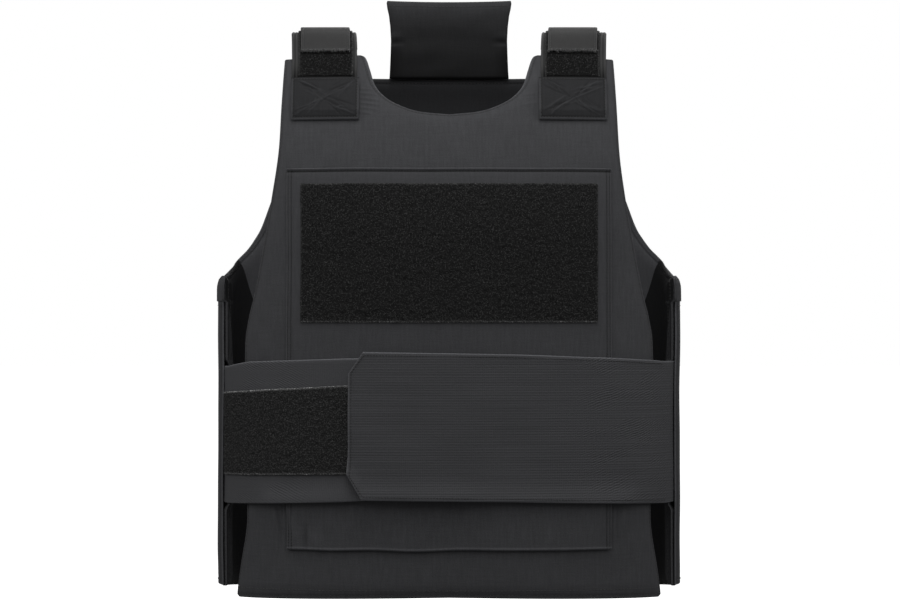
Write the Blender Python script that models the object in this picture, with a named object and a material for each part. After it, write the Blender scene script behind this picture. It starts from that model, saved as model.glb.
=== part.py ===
"""Low-profile tactical vest in black cloth, shaped as it hangs on the wearer's shoulders.

+X is the wearer's left, -Y is the front, +Z is up. The origin lies at the level of the shoulder
ridge, midway between both straps. Every layer of cloth follows one torso form at its own offset.
"""
import math

import bmesh
import bpy
import numpy as np
from mathutils import Vector
from mathutils.geometry import delaunay_2d_cdt

# Torso form: a rounded plan, upright below the chest line, leaning over to the ridge above it
HALF_WIDTH = 0.2075
HALF_DEPTH = 0.109
ROUNDNESS = 2.6
CHEST_LINE = -0.200
LEAN_RISE = 0.200

# Gaps between layers, the wider one where the facets of two layers differ
GAP = 0.0003
FACET_GAP = 0.0006

# Padded panels
FRONT_THICKNESS = 0.009
BACK_THICKNESS = 0.008
EDGE_PINCH = 0.002
RIM_WIDTH = 0.010
RIM_CLEARANCE = 0.009
POINT_CLEARANCE = 0.008
GRID_CLEARANCE = 0.018
PANEL_STEP = 0.028
OUTLINE_STEP = 0.018
NECKLINE_STEP = 0.011

# Front panel, as seen from the front
FRONT_HEM = -0.5300
FRONT_SIDE = (  # z, half width
    (-0.0256, 0.1549),
    (-0.0664, 0.1572),
    (-0.1159, 0.1596),
    (-0.1592, 0.1651),
    (-0.1967, 0.1718),
    (-0.2417, 0.1810),
    (-0.2718, 0.1889),
    (-0.3000, 0.1923),
    (-0.3756, 0.1914),
    (-0.4452, 0.1899),
    (-0.4698, 0.1909),
    (-0.5000, 0.1959),
    (-0.5233, 0.1990),
)
FRONT_HEM_CORNER = (  # z, half width
    (-0.5295, 0.1990),
    (-0.5325, 0.1970),
)
NECKLINE = (  # z, half width
    (-0.0789, 0.0000),
    (-0.0760, 0.0280),
    (-0.0697, 0.0470),
    (-0.0619, 0.0600),
    (-0.0505, 0.0697),
    (-0.0351, 0.0749),
    (-0.0270, 0.0775),
    (-0.0223, 0.0802),
    (-0.0218, 0.0853),
)

# Back panel: upper outline as seen from the front, and wings that wrap to the wearer's front
BACK_HEM = -0.5240
BACK_NECK_TOP = -0.0365
BACK_SHOULDER = (  # z, half width
    (-0.0360, 0.0840),
    (-0.0225, 0.0930),
    (-0.0205, 0.1000),
    (-0.0225, 0.1450),
    (-0.0260, 0.1500),
)
BACK_ARMHOLE = (  # z, half width
    (-0.0260, 0.1500),
    (-0.0800, 0.1550),
    (-0.1300, 0.1650),
    (-0.1568, 0.1747),
    (-0.1804, 0.1829),
    (-0.1923, 0.1890),
    (-0.2041, 0.1969),
    (-0.2160, 0.2063),
)
WING_TOP = (  # z, depth
    (-0.2215, 0.0350),
    (-0.2275, 0.0200),
    (-0.2305, -0.0100),
    (-0.2330, -0.0330),
)
WING_FRONT = -0.045
WING_CORNER = 0.009
WING_CORNER_SHARE = 0.3

# The wing is fuller above the cover: a step in its outer face, which fades towards the back
WING_STEP = (-0.2535, -0.2515)
WING_FULLNESS = 0.0055
WING_FADE = (0.045, 0.015)
WING_STEP_SPACING = 0.014

# Flat pouch on the front and the loop field sewn on it, in shared columns
POCKET_COLUMNS = (0.030, 0.060, 0.090, 0.115, 0.138, 0.1525)
POCKET_ROWS = (-0.4864, -0.4350, -0.3600, -0.2740, -0.2000, -0.1820, -0.1630, -0.1445, -0.1295)
LOOP_FIELD_COLUMNS = 5
LOOP_FIELD_ROWS = slice(3, 8)
POCKET_THICKNESS = 0.0026
LOOP_THICKNESS = 0.0015

# Elastic waist bands: they leave the slot between wing and cover and lap on the front
BAND_THICKNESS = 0.0026
BAND_STEP = 0.011
BAND_TUCKED = 0.070
FRONT_PANEL_REACH = 0.186
UNDER_BAND_END = 0.015
UNDER_BAND_EDGES = (  # x, bottom, top
    (-0.2110, -0.4451, -0.3155),
    (-0.1870, -0.4440, -0.3108),
    (-0.0970, -0.4409, -0.3074),
    (-0.0600, -0.4385, -0.3070),
    (0.0150, -0.4380, -0.3070),
)
UNDER_LOOP_EDGES = (  # x, bottom, top
    (-0.2110, -0.4180, -0.3400),
    (-0.0948, -0.4152, -0.3325),
    (0.0100, -0.4140, -0.3300),
)
OVER_BAND_TIP = 0.0943
OVER_BAND_CORNER = 0.014
OVER_BAND_RELAXED = 0.045
OVER_BAND_EDGES = (  # x, bottom, top
    (-0.0943, -0.4147, -0.3217),
    (-0.0803, -0.4392, -0.3013),
    (0.0009, -0.4399, -0.3025),
    (0.0659, -0.4410, -0.3036),
    (0.1597, -0.4430, -0.3072),
    (0.2110, -0.4445, -0.3106),
)

# Outer cover of the back, sewn down along its top and bottom hems
COVER_TOP = -0.254
COVER_BOTTOM = -0.5235
COVER_HEM = 0.009
COVER_ROWS = (-0.450, -0.360)
COVER_RISE_SPAN = 0.025
COVER_RISE_CLEARANCE = 0.005
COVER_THICKNESS = 0.0025
COVER_STEP = 0.0115
COVER_BEHIND_WING = 0.001

# Shoulder straps: x of both edges and the turn in degrees, 0 in front, 90 on the ridge, 180 behind
WIDE_STRAP = (0.0865, 0.1485)
WIDE_STRAP_TURN = (36.0, 110.0)
WIDE_STRAP_THICKNESS = 0.0030
WIDE_STRAP_PATH = (  # turn, offset
    (36.0, 0.0094),
    (55.0, 0.0094),
    (60.0, 0.0086),
    (66.0, 0.0064),
    (75.0, 0.0026),
    (83.0, 0.0008),
    (110.0, 0.0008),
)
ANCHOR_PATCH = (0.0842, 0.1487)
ANCHOR_BOTTOM = -0.0825
ANCHOR_TOP = -0.0437
ANCHOR_THICKNESS = 0.0015
STRAP_LOOP = (0.0904, 0.1420)
STRAP_LOOP_TURN = (47.8, 108.5)
STRAP_LOOP_THICKNESS = 0.0009
HOOK = (0.0940, 0.1388)
HOOK_TURN = (57.2, 107.0)
HOOK_THICKNESS = 0.0008
NARROW_STRAP = (0.0930, 0.1398)
NARROW_STRAP_TURN = (57.8, 142.0)
NARROW_STRAP_THICKNESS = 0.0022
NARROW_STRAP_BACK = (  # turn, offset
    (110.0, 0.0064),
    (119.0, 0.0090),
    (125.0, 0.0088),
    (142.0, 0.0088),
)
STRAP_END_CLEARANCE = 0.4
STRAP_SPREAD = 0.0024
STRAP_SPREAD_TURNS = (55, 85)
STRAP_TURNS = (
    (41, 46, 50.5, 55, 60, 66, 70.5)
    + (75, 79, 83, 87, 91, 95, 100, 105)
    + (110, 114, 119, 125, 131, 137)
)
STRAP_COLUMNS = 4

# Padded neck guard above the back panel, on a sewn tongue behind it
GUARD_FORM = (  # z, half width, share of the full thickness
    (-0.0352, 0.0570, 0.70),
    (-0.0290, 0.0577, 0.95),
    (-0.0120, 0.0577, 1.00),
    (0.0040, 0.0572, 0.92),
    (0.0180, 0.0587, 1.00),
    (0.0320, 0.0603, 0.95),
    (0.0385, 0.0596, 0.60),
)
GUARD_THICKNESS = 0.013
GUARD_DEPTH = 0.0665
GUARD_TILT = 0.06
GUARD_COLUMNS = 9
GUARD_WRAP = 0.05
GUARD_EDGE_TAPER = 0.35
GUARD_EDGE_POWER = 6
GUARD_SEAT_STEP = 0.003
TONGUE_ROWS = (-0.0860, -0.0650, -0.0450)
TONGUE_THICKNESS = 0.0024

SHARP_ANGLE = math.radians(35)


def plan_table():
    """Arc length from the front centre and the plan's unit x and y, along half of the plan."""
    turn = np.linspace(0.0, math.pi, 4001)
    across = np.abs(np.sin(turn)) ** (2 / ROUNDNESS)
    along = -np.sign(np.cos(turn)) * np.abs(np.cos(turn)) ** (2 / ROUNDNESS)
    steps = np.hypot(np.diff(across) * HALF_WIDTH, np.diff(along) * HALF_DEPTH)
    return np.concatenate(([0.0], np.cumsum(steps))), across, along


GIRTHS, ACROSS, ALONG = plan_table()
BACK_CENTRE = GIRTHS[-1]
FRONT_HALF = slice(0, len(GIRTHS) // 2 + 1)


def centre_girth(x, offset):
    """Girth from the front or back centre at which that face of a layer has this x."""
    reach = np.interp(abs(x) / (HALF_WIDTH + offset), ACROSS[FRONT_HALF], GIRTHS[FRONT_HALF])
    return math.copysign(reach, x)


def side_girth(y, offset):
    """Girth from the front centre at which a layer's side has this y."""
    return float(np.interp(y / (HALF_DEPTH + offset), ALONG, GIRTHS))


def rise_at(z, offset):
    """Distance up the form from the chest line, negative below it, at which a layer has this z."""
    above = z - CHEST_LINE
    return above if above <= 0 else LEAN_RISE * math.asin(above / (LEAN_RISE + offset))


def form_point(girth, rise, offset):
    """Point of the torso form's layer at this offset; girths past the back centre wrap around."""
    wrapped = (girth + BACK_CENTRE) % (2 * BACK_CENTRE) - BACK_CENTRE
    across = math.copysign(np.interp(abs(wrapped), GIRTHS, ACROSS), wrapped)
    along = np.interp(abs(wrapped), GIRTHS, ALONG)
    lean = max(rise, 0.0) / LEAN_RISE
    return (
        (HALF_WIDTH + offset) * across,
        (HALF_DEPTH + offset) * along * math.cos(lean),
        CHEST_LINE + (LEAN_RISE + offset) * math.sin(lean) + min(rise, 0.0),
    )


def shoulder_point(x, turn, offset):
    """Point of a strap's layer; x is that in front, and the straps spread a little on the ridge."""
    reach = abs(x) / (HALF_WIDTH + FRONT_THICKNESS)
    along = -((1 - reach**ROUNDNESS) ** (1 / ROUNDNESS))
    angle = math.radians(turn)
    return (
        x + math.copysign(np.interp(turn, STRAP_SPREAD_TURNS, (0.0, STRAP_SPREAD)), x),
        (HALF_DEPTH + offset) * along * math.cos(angle),
        CHEST_LINE + (LEAN_RISE + offset) * math.sin(angle),
    )


def spread(start, stop, step):
    """Evenly spaced values from start to stop, no further apart than step."""
    return np.linspace(start, stop, max(2, math.ceil(abs(stop - start) / step) + 1))


def table_value(table, place):
    """Value of a two-column table at this place in its first column."""
    return float(np.interp(place, [row[0] for row in table], [row[1] for row in table]))


def smooth_line(points, step):
    """Catmull-Rom line through the points, with its own points about a step apart."""
    points = [Vector(point) for point in points]
    ends = [points[0] * 2 - points[1], *points, points[-1] * 2 - points[-2]]
    line = []
    for before, start, stop, after in zip(ends, ends[1:], ends[2:], ends[3:]):
        count = max(1, round((stop - start).length / step))
        for number in range(count):
            t = number / count
            bend = (2 * before - 5 * start + 4 * stop - after) * t * t
            twist = (3 * start - before - 3 * stop + after) * t**3
            line.append((2 * start + (stop - before) * t + bend + twist) / 2)
    return [*line, points[-1]]


def straight_line(start, stop, step):
    """Points from start to stop, both included."""
    shares = spread(0.0, 1.0, step / max((Vector(stop) - Vector(start)).length, step))
    return [Vector(start).lerp(Vector(stop), share) for share in shares]


def mirrored_outline(half):
    """Closed outline from the half at positive girth, which starts and ends on the centre line."""
    other = [Vector((-point.x, point.y)) for point in half[::-1] if abs(point.x) > 1e-6]
    return np.array([point[:] for point in [*half, *other]])


def distance_to_outline(point, outline):
    """Shortest distance from a point to a closed outline."""
    starts = outline
    runs = np.roll(outline, -1, axis=0) - starts
    share = np.clip(((point - starts) * runs).sum(axis=1) / (runs**2).sum(axis=1), 0, 1)
    return np.linalg.norm(starts + runs * share[:, None] - point, axis=1).min()


def inside_outline(point, outline):
    """True for a point within a closed outline."""
    x, y = outline.T
    next_x, next_y = np.roll(outline, -1, axis=0).T
    crosses = (y > point[1]) != (next_y > point[1])
    height = np.where(crosses, next_y - y, 1.0)
    return bool(np.count_nonzero(crosses & (point[0] < x + (next_x - x) * (point[1] - y) / height)) % 2)


def inner_points(outline, guides):
    """The guide points, a row of points along the rim, then an even grid inside it."""
    towards = np.roll(outline, -1, axis=0) - np.roll(outline, 1, axis=0)
    towards /= np.linalg.norm(towards, axis=1)[:, None]
    normals = np.column_stack((-towards[:, 1], towards[:, 0]))
    if not inside_outline(outline[0] + normals[0] * RIM_WIDTH / 2, outline):
        normals = -normals
    kept = [np.array(point) for point in guides]

    def keep(point, clearance):
        if any(np.linalg.norm(point - other) < POINT_CLEARANCE for other in kept):
            return
        if inside_outline(point, outline) and distance_to_outline(point, outline) > clearance:
            kept.append(point)

    for point in outline + normals * RIM_WIDTH:
        keep(point, RIM_CLEARANCE)
    low, high = outline.min(axis=0), outline.max(axis=0)
    for across in spread(low[0], high[0], PANEL_STEP):
        for up in spread(low[1], high[1], PANEL_STEP):
            keep(np.array((across, up)), GRID_CLEARANCE)
    return kept


def make_material(name, colour, roughness):
    """Principled material in one colour, given as linear red, green and blue."""
    material = bpy.data.materials.new(name)
    material.use_nodes = True
    shader = material.node_tree.nodes["Principled BSDF"]
    shader.inputs["Base Color"].default_value = (*colour, 1.0)
    shader.inputs["Roughness"].default_value = roughness
    shader.inputs["Metallic"].default_value = 0.0
    return material


def make_solid(name, points, faces, finish):
    """Object from points and faces, with its faces turned outwards."""
    mesh = bpy.data.meshes.new(name)
    mesh.from_pydata([tuple(point) for point in points], [], faces)
    shape = bmesh.new()
    shape.from_mesh(mesh)
    bmesh.ops.recalc_face_normals(shape, faces=shape.faces)
    shape.to_mesh(mesh)
    shape.free()
    mesh.shade_smooth()
    mesh.set_sharp_from_angle(angle=SHARP_ANGLE)
    mesh.materials.append(make_material(name, *finish))
    solid = bpy.data.objects.new(name, mesh)
    bpy.context.scene.collection.objects.link(solid)
    return solid


def make_slab(name, near, far, finish):
    """Closed solid between two equal grids of points, near the body and far from it."""
    near, far = np.array(near), np.array(far)
    columns, rows = near.shape[:2]

    def index(side, column, row):
        return (side * columns + column) * rows + row

    faces = []
    for column in range(columns - 1):
        for row in range(rows - 1):
            for side in (0, 1):
                corners = ((column, row), (column + 1, row), (column + 1, row + 1), (column, row + 1))
                faces.append([index(side, *corner) for corner in corners])
    border = [(column, 0) for column in range(columns - 1)]
    border += [(columns - 1, row) for row in range(rows - 1)]
    border += [(column, rows - 1) for column in range(columns - 1, 0, -1)]
    border += [(0, row) for row in range(rows - 1, 0, -1)]
    for here, there in zip(border, border[1:] + border[:1]):
        faces.append([index(0, *here), index(0, *there), index(1, *there), index(1, *here)])
    return make_solid(name, np.concatenate((near.reshape(-1, 3), far.reshape(-1, 3))), faces, finish)


def make_layer(name, girths, rises, inner, thickness, finish):
    """Slab of even thickness on the torso form; rises and inner offset are functions of the girth."""
    near = [[form_point(g, r, inner(g)) for r in rises(g)] for g in girths]
    far = [[form_point(g, r, inner(g) + thickness) for r in rises(g)] for g in girths]
    return make_slab(name, near, far, finish)


def make_padded_panel(name, outline, centre, thickness, finish, guides=()):
    """Padded panel on the torso form, thinner at its bound edge.

    Its girths are from the given centre, and its thickness is a function of girth and rise.
    """
    count = len(outline)
    edges = [(number, (number + 1) % count) for number in range(count)]
    flat = [Vector(point) for point in [*outline, *inner_points(outline, guides)]]
    flat, _, triangles, sources, _, _ = delaunay_2d_cdt(flat, edges, [], 1, 1e-6)
    place = {}
    points = []
    for layer in (0, 1):
        for number, (girth, rise) in enumerate(flat):
            pinch = EDGE_PINCH if any(source < count for source in sources[number]) else 0.0
            offset = thickness(girth, rise) - pinch if layer else pinch
            points.append(form_point(centre + girth, rise, offset))
    for number, source in enumerate(sources):
        place.update({old: number for old in source})
    faces = [list(triangle) for triangle in triangles]
    faces += [[number + len(flat) for number in triangle[::-1]] for triangle in triangles]
    for start, stop in edges:
        here, there = place[start], place[stop]
        faces.append([here, there, there + len(flat), here + len(flat)])
    return make_solid(name, points, faces, finish)


def front_outline():
    """Outline of the front panel in girth and rise, up one side from the hem's centre."""
    offset = FRONT_THICKNESS - EDGE_PINCH
    side = [*FRONT_SIDE, *FRONT_HEM_CORNER]
    half = straight_line((0.0, FRONT_HEM - CHEST_LINE), flat_place(side[-1], offset), PANEL_STEP)
    half += smooth_line([flat_place(row, offset) for row in side[::-1]], OUTLINE_STEP)[1:]
    half += straight_line(half[-1], flat_place(NECKLINE[-1], offset), PANEL_STEP)[1:]
    half += smooth_line([flat_place(row, offset) for row in NECKLINE[::-1]], NECKLINE_STEP)[1:]
    return mirrored_outline(half)


def flat_place(row, offset):
    """Girth from the front centre and rise of a table row that gives z and half width."""
    return centre_girth(row[1], offset), rise_at(row[0], offset)


def back_outline():
    """Outline of the back panel in girth from the back centre and rise, up from the hem's centre."""
    offset = BACK_THICKNESS - EDGE_PINCH
    wing = BACK_CENTRE - side_girth(WING_FRONT, offset)
    hem = BACK_HEM - CHEST_LINE
    top = [(BACK_CENTRE - side_girth(depth, offset), rise_at(z, offset)) for z, depth in WING_TOP]
    armhole = [(centre_girth(x, offset), rise_at(z, offset)) for z, x in BACK_ARMHOLE]
    shoulder = [(centre_girth(x, offset), rise_at(z, offset)) for z, x in BACK_SHOULDER]
    peak = top[-1][1]
    round_off = WING_CORNER * WING_CORNER_SHARE
    corner = [(wing, peak - WING_CORNER), (wing - round_off, peak - round_off)]
    half = straight_line((0.0, hem), (wing - WING_CORNER, hem), PANEL_STEP)
    foot, head = [z - CHEST_LINE for z in WING_STEP]
    half += straight_line((wing, hem + WING_CORNER), (wing, foot), PANEL_STEP)
    half += [(wing, head), corner[0]]
    half += smooth_line([*corner, *top[::-1], *armhole[::-1]], OUTLINE_STEP)[1:]
    half += smooth_line(shoulder[::-1], OUTLINE_STEP)[1:]
    half += straight_line(half[-1], (0.0, rise_at(BACK_NECK_TOP, offset)), PANEL_STEP)[1:]
    return mirrored_outline([*map(Vector, half)])


def wing_fade_girths():
    """Girths from the back centre between which the wing's upper part grows to its fullness."""
    return [BACK_CENTRE - side_girth(depth, BACK_THICKNESS) for depth in WING_FADE]


def back_thickness(girth, rise):
    """Thickness of the back panel, fuller on the wings above the cover."""
    towards_wing = np.interp(abs(girth), wing_fade_girths(), (0.0, 1.0))
    above_step = np.interp(rise, [z - CHEST_LINE for z in WING_STEP], (0.0, 1.0))
    return BACK_THICKNESS + WING_FULLNESS * float(towards_wing * above_step)


def wing_step_points():
    """Points along the foot and the head of the step, on both wings."""
    wing = BACK_CENTRE - side_girth(WING_FRONT, BACK_THICKNESS)
    reach = spread(wing_fade_girths()[0], wing - WING_STEP_SPACING, WING_STEP_SPACING)
    return [(side * girth, z - CHEST_LINE) for side in (-1, 1) for girth in reach for z in WING_STEP]


def band_edges(table, offset):
    """Function from girth to the rises of a band's bottom, middle and top."""
    girths = [centre_girth(row[0], offset) for row in table]

    def rises(girth):
        bottom = np.interp(girth, girths, [row[1] for row in table]) - CHEST_LINE
        top = np.interp(girth, girths, [row[2] for row in table]) - CHEST_LINE
        return bottom, (bottom + top) / 2, top

    return rises


def cloth_colour(level):
    """Neutral black cloth with a trace of blue."""
    return level * 0.97, level * 0.98, level * 1.05


CORDURA = (cloth_colour(0.046), 0.85)
LINING = (cloth_colour(0.030), 0.9)
ELASTIC = (cloth_colour(0.038), 0.8)
LOOP_PILE = (cloth_colour(0.013), 0.95)
HOOK_PILE = (cloth_colour(0.016), 0.7)


def make_front_panel():
    make_padded_panel("front_panel", front_outline(), 0.0, lambda girth, rise: FRONT_THICKNESS, CORDURA)


def make_back_panel():
    make_padded_panel("back_panel", back_outline(), BACK_CENTRE, back_thickness, LINING, wing_step_points())


def make_pocket_and_loop_field():
    inner = FRONT_THICKNESS + FACET_GAP
    outer = inner + POCKET_THICKNESS
    reach = [centre_girth(x, outer) for x in POCKET_COLUMNS]
    rises = [rise_at(z, outer) for z in POCKET_ROWS]
    girths = [-girth for girth in reach[::-1]] + reach
    make_layer("chest_pocket", girths, lambda g: rises, lambda g: inner, POCKET_THICKNESS, CORDURA)
    field = [-girth for girth in reach[LOOP_FIELD_COLUMNS - 1 :: -1]] + reach[:LOOP_FIELD_COLUMNS]
    rows = rises[LOOP_FIELD_ROWS]
    loop = outer + GAP
    make_layer("chest_loop_field", field, lambda g: rows, lambda g: loop, LOOP_THICKNESS, LOOP_PILE)


def band_offset(lapped_until, relaxed_from, lapped):
    """Function from girth to a band's inner offset: in the slot, on the front, and where it laps."""
    slot = BACK_THICKNESS + FACET_GAP
    front = FRONT_THICKNESS + FACET_GAP + POCKET_THICKNESS + GAP
    mouth = side_girth(WING_FRONT, BACK_THICKNESS)
    reach = centre_girth(FRONT_PANEL_REACH, front)

    def inner(girth):
        lap = np.interp(girth, (lapped_until, relaxed_from), (lapped, 0.0))
        return float(np.interp(abs(girth), (reach, mouth), (front, slot))) + float(lap)

    return inner


def make_waist_bands():
    mouth = side_girth(WING_FRONT, BACK_THICKNESS)
    sewn = mouth + BAND_TUCKED
    front = FRONT_THICKNESS + FACET_GAP + POCKET_THICKNESS + GAP
    plain = band_offset(0.0, 1.0, 0.0)
    under = spread(-sewn, centre_girth(UNDER_BAND_END, front), BAND_STEP)
    rises = band_edges(UNDER_BAND_EDGES, front)
    make_layer("waist_band_under", under, rises, plain, BAND_THICKNESS, ELASTIC)
    patch_inner = BAND_THICKNESS + GAP
    field = spread(-mouth, centre_girth(UNDER_LOOP_EDGES[-1][0], front), BAND_STEP)
    rises = band_edges(UNDER_LOOP_EDGES, front)
    on_band = lambda g: plain(g) + patch_inner
    make_layer("waist_band_loop_field", field, rises, on_band, LOOP_THICKNESS, LOOP_PILE)
    lapped = patch_inner + LOOP_THICKNESS + GAP
    lap_face = front + lapped + BAND_THICKNESS
    tip = -centre_girth(OVER_BAND_TIP, lap_face)
    corner = -centre_girth(OVER_BAND_TIP - OVER_BAND_CORNER, lap_face)
    lapped_until = centre_girth(UNDER_BAND_END, front)
    raised = band_offset(lapped_until, centre_girth(OVER_BAND_RELAXED, front), lapped)
    over = [tip, *spread(corner, sewn, BAND_STEP)]
    rises = band_edges(OVER_BAND_EDGES, lap_face)
    make_layer("waist_band_over", over, rises, raised, BAND_THICKNESS, ELASTIC)


def make_back_cover():
    sewn = BACK_THICKNESS + FACET_GAP
    raised = sewn + BAND_THICKNESS + FACET_GAP
    mouth = BACK_CENTRE - side_girth(WING_FRONT, BACK_THICKNESS) - COVER_BEHIND_WING
    band_end = mouth - BAND_TUCKED
    heights = (COVER_BOTTOM, COVER_BOTTOM + COVER_HEM, *COVER_ROWS, COVER_TOP - COVER_HEM, COVER_TOP)
    risen = band_end - COVER_RISE_CLEARANCE
    near = []
    far = []
    for girth in spread(-mouth, mouth, COVER_STEP):
        over_bands = np.interp(abs(girth), (risen - COVER_RISE_SPAN, risen), (sewn, raised))
        hem = np.interp(abs(girth), wing_fade_girths(), (sewn, raised))
        offsets = [hem, *[over_bands] * (len(heights) - 2), hem]
        places = [(BACK_CENTRE + girth, z - CHEST_LINE) for z in heights]
        near.append([form_point(*place, d) for place, d in zip(places, offsets)])
        far.append([form_point(*place, d + COVER_THICKNESS) for place, d in zip(places, offsets)])
    make_slab("back_cover", near, far, CORDURA)


def wide_strap_offset(turn):
    return table_value(WIDE_STRAP_PATH, turn)


def narrow_strap_offset(turn):
    """Follows the wide strap in front and the back panel behind."""
    stack = WIDE_STRAP_THICKNESS + STRAP_LOOP_THICKNESS + HOOK_THICKNESS + 3 * GAP
    front = wide_strap_offset(min(turn, NARROW_STRAP_BACK[0][0])) + stack
    return front if turn < NARROW_STRAP_BACK[0][0] else table_value(NARROW_STRAP_BACK, turn)


def strap_turns(start, stop):
    """Both ends and the shared turns between them, so that the facets of all layers line up."""
    return [start, *[turn for turn in STRAP_TURNS if start + 1 < turn < stop - 1], stop]


def make_strap(name, sides, turns, inner, thickness, finish):
    """Strap piece over one shoulder; the sign of its x says which."""
    columns = np.linspace(*sides, STRAP_COLUMNS)
    near = [[shoulder_point(x, turn, inner(turn)) for turn in turns] for x in columns]
    far = [[shoulder_point(x, turn, inner(turn) + thickness) for turn in turns] for x in columns]
    return make_slab(name, near, far, finish)


def anchor_turn(z):
    """Turn at which the anchor patch's outer face has this z."""
    outer = WIDE_STRAP_PATH[0][1] + WIDE_STRAP_THICKNESS + GAP + ANCHOR_THICKNESS
    return math.degrees(math.asin((z - CHEST_LINE) / (LEAN_RISE + outer)))


def anchor_turns():
    """Rows of the anchor patch: its lower edge, then from just below the strap's end to the top."""
    strap_end = WIDE_STRAP_TURN[0] - STRAP_END_CLEARANCE
    return [anchor_turn(ANCHOR_BOTTOM), *strap_turns(strap_end, anchor_turn(ANCHOR_TOP))]


def anchor_offset(turn):
    """Over the strap, and down to the panel along the patch's lower edge."""
    over_strap = WIDE_STRAP_PATH[0][1] + WIDE_STRAP_THICKNESS + GAP
    slope = anchor_turns()[:2]
    return float(np.interp(turn, slope, (FRONT_THICKNESS + FACET_GAP, over_strap)))


def make_shoulder(name, side):
    """The five pieces of one shoulder."""

    def edges(pair):
        return side * pair[0], side * pair[1]

    def loop_offset(turn):
        return wide_strap_offset(turn) + WIDE_STRAP_THICKNESS + GAP

    def hook_offset(turn):
        return loop_offset(turn) + STRAP_LOOP_THICKNESS + GAP

    pieces = (
        ("shoulder_strap_front", WIDE_STRAP, strap_turns(*WIDE_STRAP_TURN),
         wide_strap_offset, WIDE_STRAP_THICKNESS, CORDURA),
        ("shoulder_anchor", ANCHOR_PATCH, anchor_turns(),
         anchor_offset, ANCHOR_THICKNESS, CORDURA),
        ("shoulder_loop", STRAP_LOOP, strap_turns(*STRAP_LOOP_TURN),
         loop_offset, STRAP_LOOP_THICKNESS, LOOP_PILE),
        ("shoulder_hook", HOOK, strap_turns(*HOOK_TURN),
         hook_offset, HOOK_THICKNESS, HOOK_PILE),
        ("shoulder_strap_back", NARROW_STRAP, strap_turns(*NARROW_STRAP_TURN),
         narrow_strap_offset, NARROW_STRAP_THICKNESS, CORDURA),
    )
    for piece, sides, turns, inner, thickness, finish in pieces:
        make_strap(f"{piece}_{name}", edges(sides), turns, inner, thickness, finish)


def make_neck_guard():
    """Padded guard on the back panel's top edge, with its tongue down the panel's outer face."""
    tongue = BACK_THICKNESS + FACET_GAP
    tongue_outer = tongue + TONGUE_THICKNESS
    seat = GUARD_FORM[0][0]
    near = []
    far = []
    for share in np.linspace(-1.0, 1.0, GUARD_COLUMNS):
        x = share * GUARD_FORM[0][1]
        girth = BACK_CENTRE - centre_girth(x, tongue)
        front = [form_point(girth, rise_at(z, tongue), tongue) for z in (*TONGUE_ROWS, seat)]
        back = [form_point(girth, rise_at(z, tongue_outer), tongue_outer) for z in (*TONGUE_ROWS, seat)]
        for z, half_width, fullness in GUARD_FORM:
            depth = GUARD_DEPTH + GUARD_TILT * (z - seat) - GUARD_WRAP * abs(x * share)
            taper = 1 - GUARD_EDGE_TAPER * abs(share) ** GUARD_EDGE_POWER
            bulge = GUARD_THICKNESS / 2 * fullness * taper
            front.append((share * half_width, depth - bulge, z))
            back.append((share * half_width, depth + bulge, z + (GUARD_SEAT_STEP if z == seat else 0.0)))
        near.append(front)
        far.append(back)
    make_slab("neck_guard", near, far, CORDURA)


def main():
    for thing in list(bpy.data.objects):
        bpy.data.objects.remove(thing)
    make_front_panel()
    make_pocket_and_loop_field()
    make_back_panel()
    make_back_cover()
    make_waist_bands()
    make_neck_guard()
    make_shoulder("right", -1)
    make_shoulder("left", 1)


main()
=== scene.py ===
"""Looks of the tactical vest: padded panels, cloth layers, elastic, loop pile and stitching.

Every layer follows the same torso form as the solids, at its own offset. Places on the cloth are
a girth from the front centre and a rise above the chest line, in metres.
"""
import math

import bpy
import numpy as np
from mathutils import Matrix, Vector
from mathutils.geometry import delaunay_2d_cdt


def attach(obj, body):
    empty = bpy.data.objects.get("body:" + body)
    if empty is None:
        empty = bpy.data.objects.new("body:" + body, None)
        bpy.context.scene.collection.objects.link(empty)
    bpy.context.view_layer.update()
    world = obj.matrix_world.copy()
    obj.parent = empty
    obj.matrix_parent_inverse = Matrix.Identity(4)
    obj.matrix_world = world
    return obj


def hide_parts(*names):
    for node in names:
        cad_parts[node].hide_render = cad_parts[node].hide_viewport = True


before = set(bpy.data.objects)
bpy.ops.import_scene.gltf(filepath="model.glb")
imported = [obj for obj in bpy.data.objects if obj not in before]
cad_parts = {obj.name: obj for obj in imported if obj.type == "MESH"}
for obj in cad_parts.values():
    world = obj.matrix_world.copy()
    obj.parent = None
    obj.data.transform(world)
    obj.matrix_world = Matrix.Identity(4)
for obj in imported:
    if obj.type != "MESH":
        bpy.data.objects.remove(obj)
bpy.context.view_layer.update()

bpy.ops.object.select_all(action="DESELECT")

# Torso form, as in the solids
HALF_WIDTH = 0.2075
HALF_DEPTH = 0.109
ROUNDNESS = 2.6
CHEST_LINE = -0.200
LEAN_RISE = 0.200
GAP = 0.0003
FACET_GAP = 0.0006

# Slow unevenness that all layers of the torso share; it fades out towards the shoulders
UNEVEN_HEIGHT = 0.0006
UNEVEN_LENGTH = 0.11
UNEVEN_FADE = (0.080, 0.125)

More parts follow.
